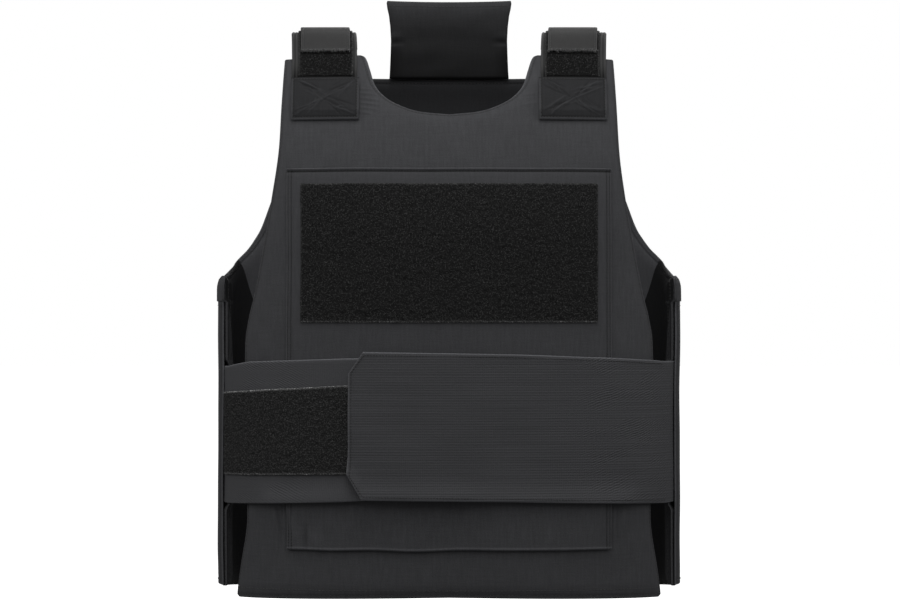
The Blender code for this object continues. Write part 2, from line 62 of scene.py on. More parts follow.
# Padded panels
FRONT_THICKNESS = 0.009
BACK_THICKNESS = 0.008
RIM_OFFSET = 0.0058
PANEL_STEP = 0.0042
OUTLINE_STEP = 0.0026
EDGE_ROWS = (0.0004, 0.0010, 0.0018, 0.0030, 0.0042, 0.0062, 0.0090, 0.0125)
EDGE_FORM = (  # distance from the edge, share of half the thickness
    (0.0000, 0.00),
    (0.0004, 0.28),
    (0.0010, 0.47),
    (0.0018, 0.60),
    (0.0030, 0.50),
    (0.0042, 0.66),
    (0.0062, 0.80),
    (0.0090, 0.92),
    (0.0125, 1.00),
)
EDGE_SEAM = 0.0030
EDGE_SEAM_SHADE = 0.55
EDGE_PAINT_REACH = 0.0013
SEAM_WIDTH = 0.0007  # half width of the groove that a seam leaves in cloth
SETTLED_FROM = 0.0040  # distance from the edge at which folds begin
SETTLED_SPAN = 0.002
FINE_STEP = 0.0013
FINE_FROM = 0.0044

FRONT_HEM = -0.5304
FRONT_SIDE = (  # z, half width
    (-0.0256, 0.1558),
    (-0.0664, 0.1580),
    (-0.1159, 0.1607),
    (-0.1592, 0.1665),
    (-0.1967, 0.1732),
    (-0.2417, 0.1820),
    (-0.2718, 0.1892),
    (-0.3000, 0.1923),
    (-0.3756, 0.1914),
    (-0.4452, 0.1899),
    (-0.4698, 0.1909),
    (-0.5000, 0.1959),
    (-0.5233, 0.1990),
)
FRONT_HEM_CORNER = (  # z, half width
    (-0.5315, 0.1996),
    (-0.5336, 0.1990),
)
NECKLINE = (  # z, half width
    (-0.0789, 0.0000),
    (-0.0760, 0.0280),
    (-0.0697, 0.0470),
    (-0.0619, 0.0600),
    (-0.0505, 0.0697),
    (-0.0351, 0.0749),
    (-0.0270, 0.0775),
    (-0.0223, 0.0802),
    (-0.0218, 0.0853),
)
FRONT_FOLDS = (  # x and z of both ends, width, height
    (-0.0840, -0.0550, -0.0690, -0.0545, 0.0009, 0.0007),
    (-0.0840, -0.0590, -0.0660, -0.0600, 0.0009, 0.0009),
    (-0.0840, -0.0635, -0.0650, -0.0655, 0.0009, 0.0008),
    (-0.0840, -0.0680, -0.0660, -0.0700, 0.0009, 0.0008),
    (-0.0840, -0.0725, -0.0670, -0.0745, 0.0009, 0.0007),
    (-0.0840, -0.0770, -0.0690, -0.0790, 0.0010, 0.0006),
    (0.0840, -0.0590, 0.0690, -0.0600, 0.0010, 0.0005),
    (0.0840, -0.0680, 0.0680, -0.0700, 0.0010, 0.0005),
    (-0.1545, -0.4430, -0.1542, -0.4860, 0.0010, 0.0014),
    (-0.1562, -0.4430, -0.1556, -0.4860, 0.0010, -0.0007),
    (-0.1640, -0.4500, -0.1580, -0.4760, 0.0025, 0.0012),
    (-0.1600, -0.4480, -0.1565, -0.4740, 0.0018, -0.0010),
    (-0.1480, -0.4900, -0.1560, -0.5240, 0.0060, 0.0006),
    (0.1545, -0.4430, 0.1542, -0.4860, 0.0010, 0.0014),
    (0.1562, -0.4430, 0.1556, -0.4860, 0.0010, -0.0007),
    (0.1640, -0.4480, 0.1585, -0.4720, 0.0025, 0.0009),
)
FRONT_FINE_ZONES = (  # x and z of both corners
    (-0.0860, -0.0840, -0.0640, -0.0500),
    (0.0640, -0.0840, 0.0860, -0.0500),
    (-0.1690, -0.4900, -0.1500, -0.4400),
    (0.1500, -0.4900, 0.1690, -0.4400),
)
HEM_SEAM = 0.0065
HEM_SEAM_DEPTH = 0.0003

BACK_HEM = -0.5240
BACK_HEM_DIP = 0.0055
BACK_HEM_RISES_FROM = 0.045
BACK_NECK_TOP = -0.0365
BACK_SHOULDER = (  # z, half width
    (-0.0360, 0.0840),
    (-0.0225, 0.0930),
    (-0.0205, 0.1000),
    (-0.0225, 0.1450),
    (-0.0260, 0.1500),
)
BACK_ARMHOLE = (  # z, half width
    (-0.0260, 0.1500),
    (-0.0800, 0.1550),
    (-0.1300, 0.1650),
    (-0.1568, 0.1752),
    (-0.1804, 0.1838),
    (-0.1923, 0.1902),
    (-0.2041, 0.1983),
    (-0.2150, 0.2075),
)
WING_TOP = (  # z, y
    (-0.2198, 0.0350),
    (-0.2254, 0.0200),
    (-0.2293, 0.0020),
    (-0.2301, -0.0150),
    (-0.2298, -0.0330),
)
WING_FRONT = -0.045
WING_CORNER = 0.007
WING_CORNER_SHARE = 0.3
WING_FOOT = 0.0014
WING_STEP = (-0.2545, -0.2543)
WING_FULLNESS = 0.0066
WING_CROWN = (  # z, share of that fullness near the wing's rounded top
    (-0.2434, 1.00),
    (-0.2386, 0.97),
    (-0.2338, 0.82),
    (-0.2298, 0.40),
)
WING_FADE = (0.045, 0.015)
WING_EDGE_FULLNESS = 0.0031
WING_EDGE_REACH = (0.030, 0.012)
WING_RIM_SHARE = 0.95
WING_RIM_REACH = (0.060, 0.025)
WING_PINCH = 0.0060
WING_BINDING = (  # z, width
    (-0.4500, 0.0120),
    (-0.3118, 0.0100),
    (-0.3005, 0.0066),
    (-0.2577, 0.0010),
    (-0.2400, 0.0008),
)
WING_SHADE_LINE = (  # z and y of the line between the side lining's painted light and the wing lining's painted shade
    (-0.2170, 0.0410),
    (-0.2510, 0.0570),
)
# least half width where the wing lining's painted shade begins, and the half width where the side lining's
# painted light begins
WING_SHADE_LEAST = 0.160
BACK_LINING_HALF = 0.100
FRONT_PAINTED_EDGES = (1.0, 0.1)  # painted highlight along the edges of the outer and the inner face
BACK_PAINTED_EDGES = (-0.3, -1.2)  # below 0 the edges get painted shade

# Flat pouch and loop field on the chest
POCKET_HALF_WIDTH = 0.1525
POCKET_BOTTOM = -0.4864
POCKET_TOP = -0.1295
POCKET_THICKNESS = 0.0026
POCKET_LIP = (0.0012, 0.0034)  # distances of its fold and its seam from the top edge
POCKET_LIP_HEIGHT = 0.0007
POCKET_LIP_DEPTH = 0.0006
POCKET_SEAMS = (0.0020, 0.0050)  # distances from the side edges
POCKET_SEAM_DEPTH = 0.00035
POCKET_HEM_ROLL = 0.0016
POCKET_HEM_HEIGHT = 0.0004
POCKET_DEEPEST = 0.0005
POCKET_FINE_ROWS = (0.0006, 0.0012, 0.0018, 0.0024, 0.0030, 0.0036, 0.0042)
POCKET_STEP = 0.0035
POCKET_HEM_WAVE = 0.0007
POCKET_FOLDS = (  # x and z of both ends, width, height
    (-0.1338, -0.4640, -0.1330, -0.4855, 0.0010, -0.0016),
    (-0.1316, -0.4600, -0.1310, -0.4850, 0.0010, 0.0009),
    (-0.1270, -0.4700, -0.1200, -0.4855, 0.0025, 0.0006),
    (-0.0420, -0.4650, -0.0440, -0.4850, 0.0020, 0.0004),
    (0.0950, -0.4600, 0.0900, -0.4855, 0.0025, 0.0005),
    (-0.1500, -0.4450, -0.1440, -0.4750, 0.0025, 0.0007),
)
LOOP_FIELD = (0.1380, -0.2740, -0.1445)  # half width, bottom, top
LOOP_THICKNESS = 0.0015
CHEST_LOOP_SEAM = 0.0014
WAIST_LOOP_SEAM = 0.0012

# Elastic waist bands
BAND_THICKNESS = 0.0026
BAND_TUCKED = 0.070
BAND_COLUMN = 0.0042
BAND_ROW = 0.0018
RIB_PITCH = 0.0024
RIPPLE_PITCH = 0.0023
RIGHT_RIPPLES = (-0.225, -0.115, 0.48)  # girth from and to, slope
LEFT_RIPPLES = (0.105, 0.225, -0.40)
BAND_LIFT = 0.0034
BAND_LIFT_REACH = 0.012
FRONT_PANEL_REACH = 0.186
UNDER_BAND_END = 0.015
UNDER_BAND_EDGES = (  # x, bottom, top
    (-0.2110, -0.4451, -0.3155),
    (-0.1870, -0.4440, -0.3108),
    (-0.0970, -0.4409, -0.3074),
    (-0.0600, -0.4385, -0.3070),
    (0.0150, -0.4380, -0.3070),
)
UNDER_LOOP_EDGES = (  # x, bottom, top
    (-0.2110, -0.4180, -0.3400),
    (-0.0948, -0.4152, -0.3325),
    (0.0100, -0.4140, -0.3300),
)
OVER_BAND_TIP = 0.0943
OVER_BAND_CORNER = 0.014
OVER_BAND_RELAXED = 0.045
OVER_BAND_EDGES = (  # x, bottom, top
    (-0.0943, -0.4147, -0.3217),
    (-0.0803, -0.4392, -0.3013),
    (0.0009, -0.4399, -0.3025),
    (0.0659, -0.4410, -0.3036),
    (0.1597, -0.4430, -0.3072),
    (0.2110, -0.4445, -0.3106),
)
OVER_BAND_TIP_COLUMNS = (
    0.0, 0.0001, 0.0005, 0.0010, 0.0018, 0.0026, 0.0034, 0.0045, 0.0065, 0.0090, 0.0115,
)
BAND_SEAM = 0.0030
BAND_SEAM_END = 0.20
BAND_SLACK = 0.0003
BAND_FREE = (0.180, 0.012, 0.02)  # x and offset where the band turns slack, and over what girth
# painted highlight along the bands' edges
BAND_EDGE_HIGHLIGHT = 0.6

# Outer cover of the back
COVER_TOP = -0.2539
COVER_BOTTOM = -0.5235
COVER_HEM = 0.009
COVER_RISE_SPAN = 0.025
COVER_RISE_CLEARANCE = 0.005
COVER_THICKNESS = 0.0016
COVER_BEHIND_WING = 0.003
COVER_STEP = 0.0045
COVER_SEAM = 0.0045
COVER_SLACK = 0.0002
COVER_FRONT_SHADE = (0.0038, 0.0020)  # distance from the front edges and reach of a painted shade line

# Shoulder straps: x of both edges and the turn in degrees, 0 in front, 90 on the ridge
WIDE_STRAP = (0.0865, 0.1485)
WIDE_STRAP_TURN = (36.0, 110.0)
WIDE_STRAP_THICKNESS = 0.0030
WIDE_STRAP_PATH = (  # turn, offset
    (36.0, 0.0094),
    (55.0, 0.0094),
    (60.0, 0.0086),
    (66.0, 0.0064),
    (75.0, 0.0026),
    (83.0, 0.0008),
    (110.0, 0.0008),
)
ANCHOR_PATCH = (0.0842, 0.1487)
ANCHOR_BOTTOM = -0.0825
ANCHOR_TOP = -0.0437
ANCHOR_THICKNESS = 0.0015
STRAP_LOOP = (0.0904, 0.1420)
STRAP_LOOP_TURN = (47.8, 108.5)
STRAP_LOOP_THICKNESS = 0.0009
HOOK = (0.0940, 0.1388)
HOOK_TURN = (57.2, 107.0)
HOOK_THICKNESS = 0.0008
NARROW_STRAP = (0.0930, 0.1398)
NARROW_STRAP_TURN = (57.8, 142.0)
NARROW_STRAP_THICKNESS = 0.0022
NARROW_STRAP_BACK = (  # turn, offset
    (110.0, 0.0064),
    (119.0, 0.0090),
    (125.0, 0.0088),
    (142.0, 0.0088),
)
STRAP_SPREAD = 0.0024
STRAP_SPREAD_TURNS = (55, 85)
STRAP_STEP = 0.0016
WIDE_STRAP_STEPS = (0.0008, 0.0056)  # across and along
NARROW_STRAP_STEPS = (0.0009, 0.0036)
HOOK_STEPS = (0.0030, 0.0040)
ANCHOR_STEP = 0.0007
ANCHOR_TUCK = 0.0024
ANCHOR_SEAM = 0.0022
ANCHOR_RELIEF = 0.0007
ANCHOR_CREASES = 9
ANCHOR_CREASE_WIDTH = (0.0006, 0.0010)
ANCHOR_CREASE_HEIGHT = (0.0003, 0.0009)
# how strongly the folds' ridges get painted light and their valleys painted shade
FOLD_PAINTED_SHADING = 350.0
STRAP_RIBS = (0.0016, 0.0048)  # distances from the side edges
STRAP_RIB_HEIGHT = 0.0004
STRAP_RIB_SHADE = (0.0014, 0.0006)  # distance inside each rib, and width, of a painted shade line
NARROW_STRAP_SEAM = 0.0024
NARROW_STRAP_BOX = 0.034
STRAP_FOOT = (46.5, 4.0)  # turn of the painted shade at the foot, and how far it reaches
FRAYED_COUNT = 320
FRAYED_ZONE = (0.0004, 0.0010)  # how far the frayed threads start outside and inside the strap's end
FRAYED_REACH = (0.0008, 0.0020)
FRAYED_HEIGHT = 0.0007
FRAYED_RADIUS = 0.00016

# Neck guard
GUARD_FORM = (  # z, half width, share of the full thickness
    (-0.0371, 0.0583, 0.85),
    (-0.0290, 0.0578, 0.95),
    (-0.0120, 0.0571, 1.00),
    (0.0010, 0.0568, 0.92),
    (0.0140, 0.0575, 1.00),
    (0.0250, 0.0588, 1.00),
    (0.0320, 0.0604, 0.95),
    (0.0375, 0.0611, 0.80),
    (0.0396, 0.0603, 0.55),
)
GUARD_THICKNESS = 0.013
GUARD_DEPTH = 0.0665
GUARD_TILT = 0.06
GUARD_WRAP = 0.05
GUARD_STEP = 0.0018
GUARD_CREASE = -0.0012
GUARD_CREASE_DEPTH = 0.0028
GUARD_CREASE_WIDTH = 0.0018
GUARD_PULLS = (0.0004, 0.028)  # height and length
GUARD_LOW_CORNER_SHADE = 0.65
GUARD_PINCH = (  # distance above the crease, reach, painted light (above 0) or painted shade (below 0)
    (0.0080, 0.0035, 1.0),
    (0.0000, 0.0012, -1.0),
    (-0.0025, 0.0016, 0.9),
)
GUARD_SAG = 0.0010
GUARD_ROUNDING = (60, 14)  # at the foot and at the top; a higher power is a sharper edge
GUARD_SEAM = 0.0340
GUARD_SHADE = (  # z, painted light (above 0) or painted shade (below 0)
    (-0.0352, -1.00),
    (-0.0100, -0.70),
    (0.0040, -0.30),
    (0.0200, 0.30),
    (0.0320, 1.20),
    (0.0393, 1.60),
)
TONGUE_HALF_WIDTH = 0.0570
TONGUE_BOTTOM = -0.0860
TONGUE_THICKNESS = 0.0024
TONGUE_STEPS = (0.004, 0.003)
TONGUE_SEAM = 0.004
TONGUE_HEAD = 0.006

# Thread and pile
STITCH_PITCH = 0.0034
FINE_PITCH = 0.0028
STITCH_SHARE = 0.74
THREAD_RADIUS = 0.00024
STITCH_HEIGHT = 0.00020
STITCH_DIP = 0.00030
THREAD_SIDES = 4
THREAD_ARC = ((0.0, 0.0), (0.25, 0.85), (0.75, 0.85), (1.0, 0.0))  # share of its length and of its height
PILE_STEP = 0.0015
PILE_ROUGHNESS = 0.00030
PILE_BORDER = 0.0010
LOOPS_PER_AREA = 0.15e6
LOOP_REACH = (0.0010, 0.0024)
LOOP_HEIGHT = 0.00060
LOOP_RADIUS = 0.00014
LOOP_SIDES = 3
LOOP_SUNK = 0.0004
TUFTS = (0.006, 0.25)  # length and share
# reach of the painted highlight along the edges of sheets
EDGE_HIGHLIGHT_REACH = 0.0008
SEAM_STEP = 0.01

# Padding by cloth simulation
SIMULATED_FRAMES = 12
PADDING_PRESSURE = 4.0
LOOSE_PIN = 0.25
PIN_MARGIN = 0.0008
REACH_GROWTH = 0.006
INNER_REACH = 0.0006
COVERED_REACH = 0.0002
FRONT_REACH = 0.0009
BACK_REACH = 0.0010
GUARD_REACH = 0.0015

# Camera, from the photograph's frame
CAMERA_PLACE = (0.00093, -3.718, -0.253)
SENSOR_WIDTH = 36.0
LENS = 154.84


def plan_table():
    """Arc length from the front centre and the plan's unit x and y, along half of the plan."""
    turn = np.linspace(0.0, math.pi, 4001)
    across = np.abs(np.sin(turn)) ** (2 / ROUNDNESS)
    along = -np.sign(np.cos(turn)) * np.abs(np.cos(turn)) ** (2 / ROUNDNESS)
    steps = np.hypot(np.diff(across) * HALF_WIDTH, np.diff(along) * HALF_DEPTH)
    return np.concatenate(([0.0], np.cumsum(steps))), across, along


GIRTHS, ACROSS, ALONG = plan_table()
BACK_CENTRE = GIRTHS[-1]
FRONT_HALF = slice(0, len(GIRTHS) // 2 + 1)


def centre_girth(x, offset):
    """Girth from the front or back centre at which that face of a layer has this x."""
    reach = np.interp(abs(x) / (HALF_WIDTH + offset), ACROSS[FRONT_HALF], GIRTHS[FRONT_HALF])
    return math.copysign(reach, x)


def side_girth(y, offset):
    """Girth from the front centre at which a layer's side has this y."""
    return float(np.interp(y / (HALF_DEPTH + offset), ALONG, GIRTHS))


def rise_at(z, offset):
    """Distance up the form from the chest line, negative below it, at which a layer has this z."""
    above = z - CHEST_LINE
    return above if above <= 0 else LEAN_RISE * math.asin(above / (LEAN_RISE + offset))


def unevenness(across, up, length, seed):
    """Smooth random heights between about -1 and 1, with features about a length wide."""
    draw = np.random.default_rng(seed)
    total = 0.0
    for _ in range(7):
        direction = draw.uniform(0, math.pi)
        wave = 2 * math.pi / (length * draw.uniform(0.7, 1.8))
        phase = draw.uniform(0, 2 * math.pi)
        total = total + np.sin(wave * (across * math.cos(direction) + up * math.sin(direction)) + phase)
    return total / 3.5


def on_torso(girth, rise, offset):
    """Points of the torso form's layer at this offset; girths past the back centre wrap around."""
    girth, rise = np.asarray(girth, float), np.asarray(rise, float)
    fade = 1 - np.clip((rise - UNEVEN_FADE[0]) / (UNEVEN_FADE[1] - UNEVEN_FADE[0]), 0, 1)
    offset = offset + UNEVEN_HEIGHT * fade * unevenness(girth, rise, UNEVEN_LENGTH, 11)
    wrapped = (girth + BACK_CENTRE) % (2 * BACK_CENTRE) - BACK_CENTRE
    across = np.sign(wrapped) * np.interp(np.abs(wrapped), GIRTHS, ACROSS)
    along = np.interp(np.abs(wrapped), GIRTHS, ALONG)
    lean = np.maximum(rise, 0.0) / LEAN_RISE
    return np.stack((
        (HALF_WIDTH + offset) * across,
        (HALF_DEPTH + offset) * along * np.cos(lean),
        CHEST_LINE + (LEAN_RISE + offset) * np.sin(lean) + np.minimum(rise, 0.0),
    ), axis=-1)


def on_shoulder(x, arc, offset):
    """Points of a strap's layer; arc is the length over the shoulder from the chest line up."""
    x, angle = np.asarray(x, float), np.asarray(arc, float) / LEAN_RISE
    reach = np.abs(x) / (HALF_WIDTH + FRONT_THICKNESS)
    along = -((1 - reach**ROUNDNESS) ** (1 / ROUNDNESS))
    widened = np.interp(np.degrees(angle), STRAP_SPREAD_TURNS, (0.0, STRAP_SPREAD))
    return np.stack(np.broadcast_arrays(
        x + np.sign(x) * widened,
        (HALF_DEPTH + offset) * along * np.cos(angle),
        CHEST_LINE + (LEAN_RISE + offset) * np.sin(angle),
    ), axis=-1)


def arc_at(turn):
    """Length over the shoulder at a turn in degrees."""
    return LEAN_RISE * math.radians(turn)


def table_value(table, place, column=1):
    """Values of one column of a table at these places in its first column."""
    return np.interp(place, [row[0] for row in table], [row[column] for row in table])


def bell(distance, reach):
    """One at no distance, falling off about this reach away from it."""
    return np.exp(-((distance / reach) ** 2))


def smooth_line(points, step):
    """Catmull-Rom line through the points, with its own points about a step apart."""
    points = [Vector(point) for point in points]
    ends = [points[0] * 2 - points[1], *points, points[-1] * 2 - points[-2]]
    line = []
    for before, start, stop, after in zip(ends, ends[1:], ends[2:], ends[3:]):
        count = max(1, round((stop - start).length / step))
        for number in range(count):
            t = number / count
            bend = (2 * before - 5 * start + 4 * stop - after) * t * t
            twist = (3 * start - before - 3 * stop + after) * t**3
            line.append((2 * start + (stop - before) * t + bend + twist) / 2)
    return [*line, points[-1]]


def straight_line(start, stop, step):
    """Points from start to stop, both included."""
    start, stop = Vector(start), Vector(stop)
    count = max(2, math.ceil((stop - start).length / step) + 1)
    return [start.lerp(stop, share) for share in np.linspace(0.0, 1.0, count)]


def mirrored_outline(half):
    """Closed outline from the half at positive girth, which starts and ends on the centre line."""
    other = [Vector((-point.x, point.y)) for point in half[::-1] if abs(point.x) > 1e-6]
    return np.array([point[:] for point in [*half, *other]])


def front_outline():
    """Outline of the front panel in girth and rise, up one side from the hem's centre."""
    places = [Vector((centre_girth(x, RIM_OFFSET), rise_at(z, RIM_OFFSET)))
              for z, x in [*FRONT_SIDE, *FRONT_HEM_CORNER, *NECKLINE]]
    side, corner = places[:len(FRONT_SIDE)], places[len(FRONT_SIDE):-len(NECKLINE)]
    neckline = places[-len(NECKLINE):]
    half = straight_line((0.0, FRONT_HEM - CHEST_LINE), corner[-1], OUTLINE_STEP)
    half += smooth_line([*corner[::-1], *side[::-1]], OUTLINE_STEP)[1:]
    half += straight_line(half[-1], neckline[-1], OUTLINE_STEP)[1:]
    half += smooth_line(neckline[::-1], OUTLINE_STEP)[1:]
    return mirrored_outline(half)


def back_outline():
    """Outline of the back panel in girth from the back centre and rise, up from the hem's centre."""
    def place(row):
        return Vector((centre_girth(row[1], RIM_OFFSET), rise_at(row[0], RIM_OFFSET)))

    wing = BACK_CENTRE - side_girth(WING_FRONT, RIM_OFFSET)
    hem = BACK_HEM - CHEST_LINE
    top = [Vector((BACK_CENTRE - side_girth(depth, RIM_OFFSET), rise_at(z, RIM_OFFSET)))
           for z, depth in WING_TOP]
    peak = top[-1].y
    round_off = WING_CORNER * WING_CORNER_SHARE
    corner = [Vector((wing, peak - WING_CORNER)), Vector((wing - round_off, peak - round_off))]
    inwards = WING_FOOT * WING_CORNER_SHARE
    foot = [Vector((wing - WING_FOOT, hem)), Vector((wing - inwards, hem + inwards)),
            Vector((wing, hem + WING_FOOT))]
    turn = Vector((BACK_CENTRE - side_girth(BACK_HEM_RISES_FROM, RIM_OFFSET), hem - BACK_HEM_DIP))
    half = straight_line((0.0, turn.y), turn, OUTLINE_STEP)
    half += straight_line(turn, foot[0], OUTLINE_STEP)[1:]
    half += smooth_line(foot, OUTLINE_STEP)[1:]
    half += straight_line(foot[-1], corner[0], OUTLINE_STEP)[1:]
    half += smooth_line([*corner, *top[::-1], *map(place, BACK_ARMHOLE[::-1])], OUTLINE_STEP)[1:]
    half += smooth_line([*map(place, BACK_SHOULDER[::-1])], OUTLINE_STEP)[1:]
    half += straight_line(half[-1], (0.0, rise_at(BACK_NECK_TOP, RIM_OFFSET)), OUTLINE_STEP)[1:]
    return mirrored_outline(half)


def outline_distance(places, outline):
    """Signed distance from each place to a closed outline, positive inside it."""
    runs = np.roll(outline, -1, axis=0) - outline
    squares = (runs**2).sum(axis=1)
    found = []
    for part in np.array_split(places, max(1, len(places) // 1500)):
        away = part[:, None, :] - outline[None]
        share = np.clip((away * runs).sum(axis=2) / squares, 0, 1)
        distance = np.linalg.norm(away - share[..., None] * runs, axis=2).min(axis=1)
        crosses = (away[..., 1] < 0) != (away[..., 1] - runs[:, 1] < 0)
        slope = runs[:, 0] / np.where(runs[:, 1] == 0, 1.0, runs[:, 1])
        inside = np.count_nonzero(crosses & (away[..., 0] < away[..., 1] * slope), axis=1) % 2
        found.append(np.where(inside, distance, -distance))
    return np.concatenate(found)


def inset_outline(outline, distance):
    """The outline moved inwards by a distance, without the points that would crowd in corners."""
    towards = np.roll(outline, -1, axis=0) - np.roll(outline, 1, axis=0)
    normals = np.column_stack((-towards[:, 1], towards[:, 0])) / np.linalg.norm(towards, axis=1)[:, None]
    moved = outline + normals * distance
    if outline_distance(moved[:1], outline)[0] < 0:
        moved = outline - normals * distance
    return moved[outline_distance(moved, outline) > distance * 0.94]


def evenly(start, stop, step):
    """Evenly spaced values from start to stop, no further apart than step."""
    return np.linspace(start, stop, max(2, math.ceil(abs(stop - start) / step - 1e-9) + 1))


def edged(start, stop, step, edge):
    """Values from start to stop, closer together in the rounded edges at both ends."""
    close = np.array((0.0, 0.07, 0.3, 0.65)) * edge
    return np.concatenate((start + close, evenly(start + edge, stop - edge, step), (stop - close)[::-1]))


def fold_relief(across, up, folds):
    """Heights of soft folds, each a ridge or a valley along a line that fades at its ends."""
    total = np.zeros(np.shape(across))
    for start_across, start_up, stop_across, stop_up, width, height in folds:
        run = np.array((stop_across - start_across, stop_up - start_up))
        share = ((across - start_across) * run[0] + (up - start_up) * run[1]) / (run**2).sum()
        share = np.clip(share, 0, 1)
        distance = np.hypot(across - start_across - share * run[0], up - start_up - share * run[1])
        total += height * bell(distance, width) * np.sin(math.pi * (0.12 + 0.76 * share))
    return total


def folds_on_torso(folds, offset):
    """The same folds with their x and z turned into girth and rise."""
    turned = []
    for first_x, first_z, last_x, last_z, width, height in folds:
        first = centre_girth(first_x, offset), rise_at(first_z, offset)
        last = centre_girth(last_x, offset), rise_at(last_z, offset)
        turned.append((*first, *last, width, height))
    return turned


def crossing_folds(low, high, count, width, height, seed):
    """Random creases that run from the corners of a patch towards its middle."""
    draw = np.random.default_rng(seed)
    low, high = np.array(low), np.array(high)
    middle = (low + high) / 2
    folds = []
    for corner in (low, high, np.array((low[0], high[1])), np.array((high[0], low[1]))):
        for _ in range(count):
            start = corner + (middle - corner) * draw.uniform(0.05, 0.6, 2)
            stop = corner + (middle - corner) * draw.uniform(0.65, 1.1) + draw.normal(0, 0.003, 2)
            broad = draw.uniform(*width)
            folds.append((*start, *stop, broad, draw.choice((-1, 1)) * draw.uniform(*height)))
    return folds


# Meshes

def add_piece(name, points, faces, places, finish, painted_shading=None):
    """Shown piece of the vest, with its place on the cloth as UV and its painted light and shade as an
    attribute.
    """
    mesh = bpy.data.meshes.new(name)
    mesh.from_pydata(points.tolist(), [], faces.tolist() if isinstance(faces, np.ndarray) else faces)
    corners = np.empty(len(mesh.loops), dtype=np.int32)
    mesh.loops.foreach_get("vertex_index", corners)
    mesh.uv_layers.new(name="cloth").data.foreach_set("uv", places[corners].astype(np.float32).ravel())
    if painted_shading is None:
        painted_shading = np.zeros(len(points))
    mesh.attributes.new("painted_shading", "FLOAT", "POINT").data.foreach_set("value", painted_shading.astype(np.float32))
    mesh.shade_smooth()
    mesh.materials.append(finish)
    piece = bpy.data.objects.new(name, mesh)
    bpy.context.scene.collection.objects.link(piece)
    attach(piece, "root")
    return piece


def round_edges(inner, outer, rim):
    """Offsets of both faces of a sheet, brought together in a half round at its edge."""
    half, middle = (outer - inner) / 2, (outer + inner) / 2
    kept = np.sqrt(1 - (1 - np.clip(rim / np.maximum(half, 1e-5), 0, 1)) ** 2)
    return middle - half * kept, middle + half * kept


def rim_distance(across, up):
    """Distance of each grid place from the sheet's nearest edge."""
    sides = np.minimum(np.abs(across - across[:1]), np.abs(across[-1:] - across))
    return np.minimum(sides, np.minimum(up - up[:, :1], up[:, -1:] - up))


def quads(ids):
    """Four-sided faces of a grid of point numbers."""
    corners = (ids[:-1, :-1], ids[1:, :-1], ids[1:, 1:], ids[:-1, 1:])
    return np.stack([corner.ravel() for corner in corners], axis=1)


def sheet_faces(shape):
    """Points in use and faces of a closed sheet whose near and far grids share their border."""
    near_ids = np.arange(shape[0] * shape[1]).reshape(shape)
    border = np.ones(shape, bool)
    border[1:-1, 1:-1] = False
    far_ids = np.where(border, near_ids, near_ids + near_ids.size)
    faces = np.concatenate((quads(near_ids)[:, ::-1], quads(far_ids)))
    used, faces = np.unique(faces, return_inverse=True)
    return used, faces.reshape(-1, 4)


def add_sheet(name, surface, across, up, inner, thickness, finish, relief=0.0, painted_shading=0.0):
    """Closed sheet on a surface, between an inner offset and that plus its thickness.

    Its edge is rounded, relief lifts both faces, and its edge gets a painted highlight, to which the
    painted light and shade given adds.
    """
    rim = rim_distance(across, up)
    shape = across.shape
    smooth = np.broadcast_to(inner, shape)
    near, far = round_edges(smooth + relief, smooth + relief + thickness, rim)
    points = np.concatenate([surface(across, up, level).reshape(-1, 3) for level in (near, far)])
    places = np.tile(np.stack((across, up), axis=-1).reshape(-1, 2), (2, 1))
    # painted highlight along the edge, plus the painted light and shade given
    painted_light_and_shade = np.tile((np.exp(-rim / EDGE_HIGHLIGHT_REACH) + painted_shading).ravel(), 2)
    used, faces = sheet_faces(shape)
    piece = add_piece(name, points[used], faces, places[used], finish, painted_light_and_shade[used])
    flat = [np.linalg.norm(np.diff(line, axis=0), axis=1).sum() for line in (
        surface(across[:, shape[1] // 2], up[:, shape[1] // 2], smooth[:, shape[1] // 2]),
        surface(across[shape[0] // 2], up[shape[0] // 2], smooth[shape[0] // 2]),
    )]
    piece["flat"] = [float(round(length, 3)) for length in flat]
    return piece


def thread_arcs(starts, stops, ups, height, dip, radius, sides):
    """Points and faces of many short threads, each an arc that stands up between its sunken ends."""
    count = len(starts)
    along = stops - starts
    along = along / np.maximum(np.linalg.norm(along, axis=1, keepdims=True), 1e-9)
    beside = np.cross(along, ups)
    turns = np.arange(sides) * 2 * math.pi / sides
    ring = radius * (np.cos(turns)[:, None, None] * beside + np.sin(turns)[:, None, None] * ups)
    rings = []
    for share, lift in THREAD_ARC:
        level = height * lift if lift else -dip
        rings.append(starts + (stops - starts) * share + ups * level + ring)
    points = np.array(rings).transpose(2, 0, 1, 3).reshape(-1, 3)
    last = len(THREAD_ARC) - 1
    ids = np.arange(count)[:, None] * len(THREAD_ARC) * sides
    faces = []
    for station in range(last):
        for side in range(sides):
            here, there = station * sides + side, station * sides + (side + 1) % sides
            faces.append(ids + [here, there, there + sides, here + sides])
    caps = [ids + [*range(sides)][::-1], ids + [*range(last * sides, (last + 1) * sides)]]
    return points, np.concatenate(faces).tolist() + np.concatenate(caps).tolist()


def surface_normals(surface, across, up, offset):
    """Outward directions of a surface at these places."""
    towards = surface(across, up, offset + 0.001) - surface(across, up, offset)
    return towards / np.linalg.norm(towards, axis=-1, keepdims=True)


def stitch_places(surface, line, offset, pitch):
    """Start and stop places of the stitches along a line on a surface."""
    line = np.asarray(line, float)
    dense = np.concatenate([
        start + (stop - start) * np.linspace(0, 1, 8, endpoint=False)[:, None]
        for start, stop in zip(line, line[1:])
    ] + [line[-1:]])
    spots = surface(dense[:, 0], dense[:, 1], offset)
    lengths = np.concatenate(([0.0], np.cumsum(np.linalg.norm(np.diff(spots, axis=0), axis=1))))
    count = max(1, int(lengths[-1] / pitch))
    starts = np.arange(count) * lengths[-1] / count
    ends = starts + lengths[-1] / count * STITCH_SHARE
    return [np.column_stack([np.interp(at, lengths, dense[:, axis]) for axis in (0, 1)])
            for at in (starts, ends)]


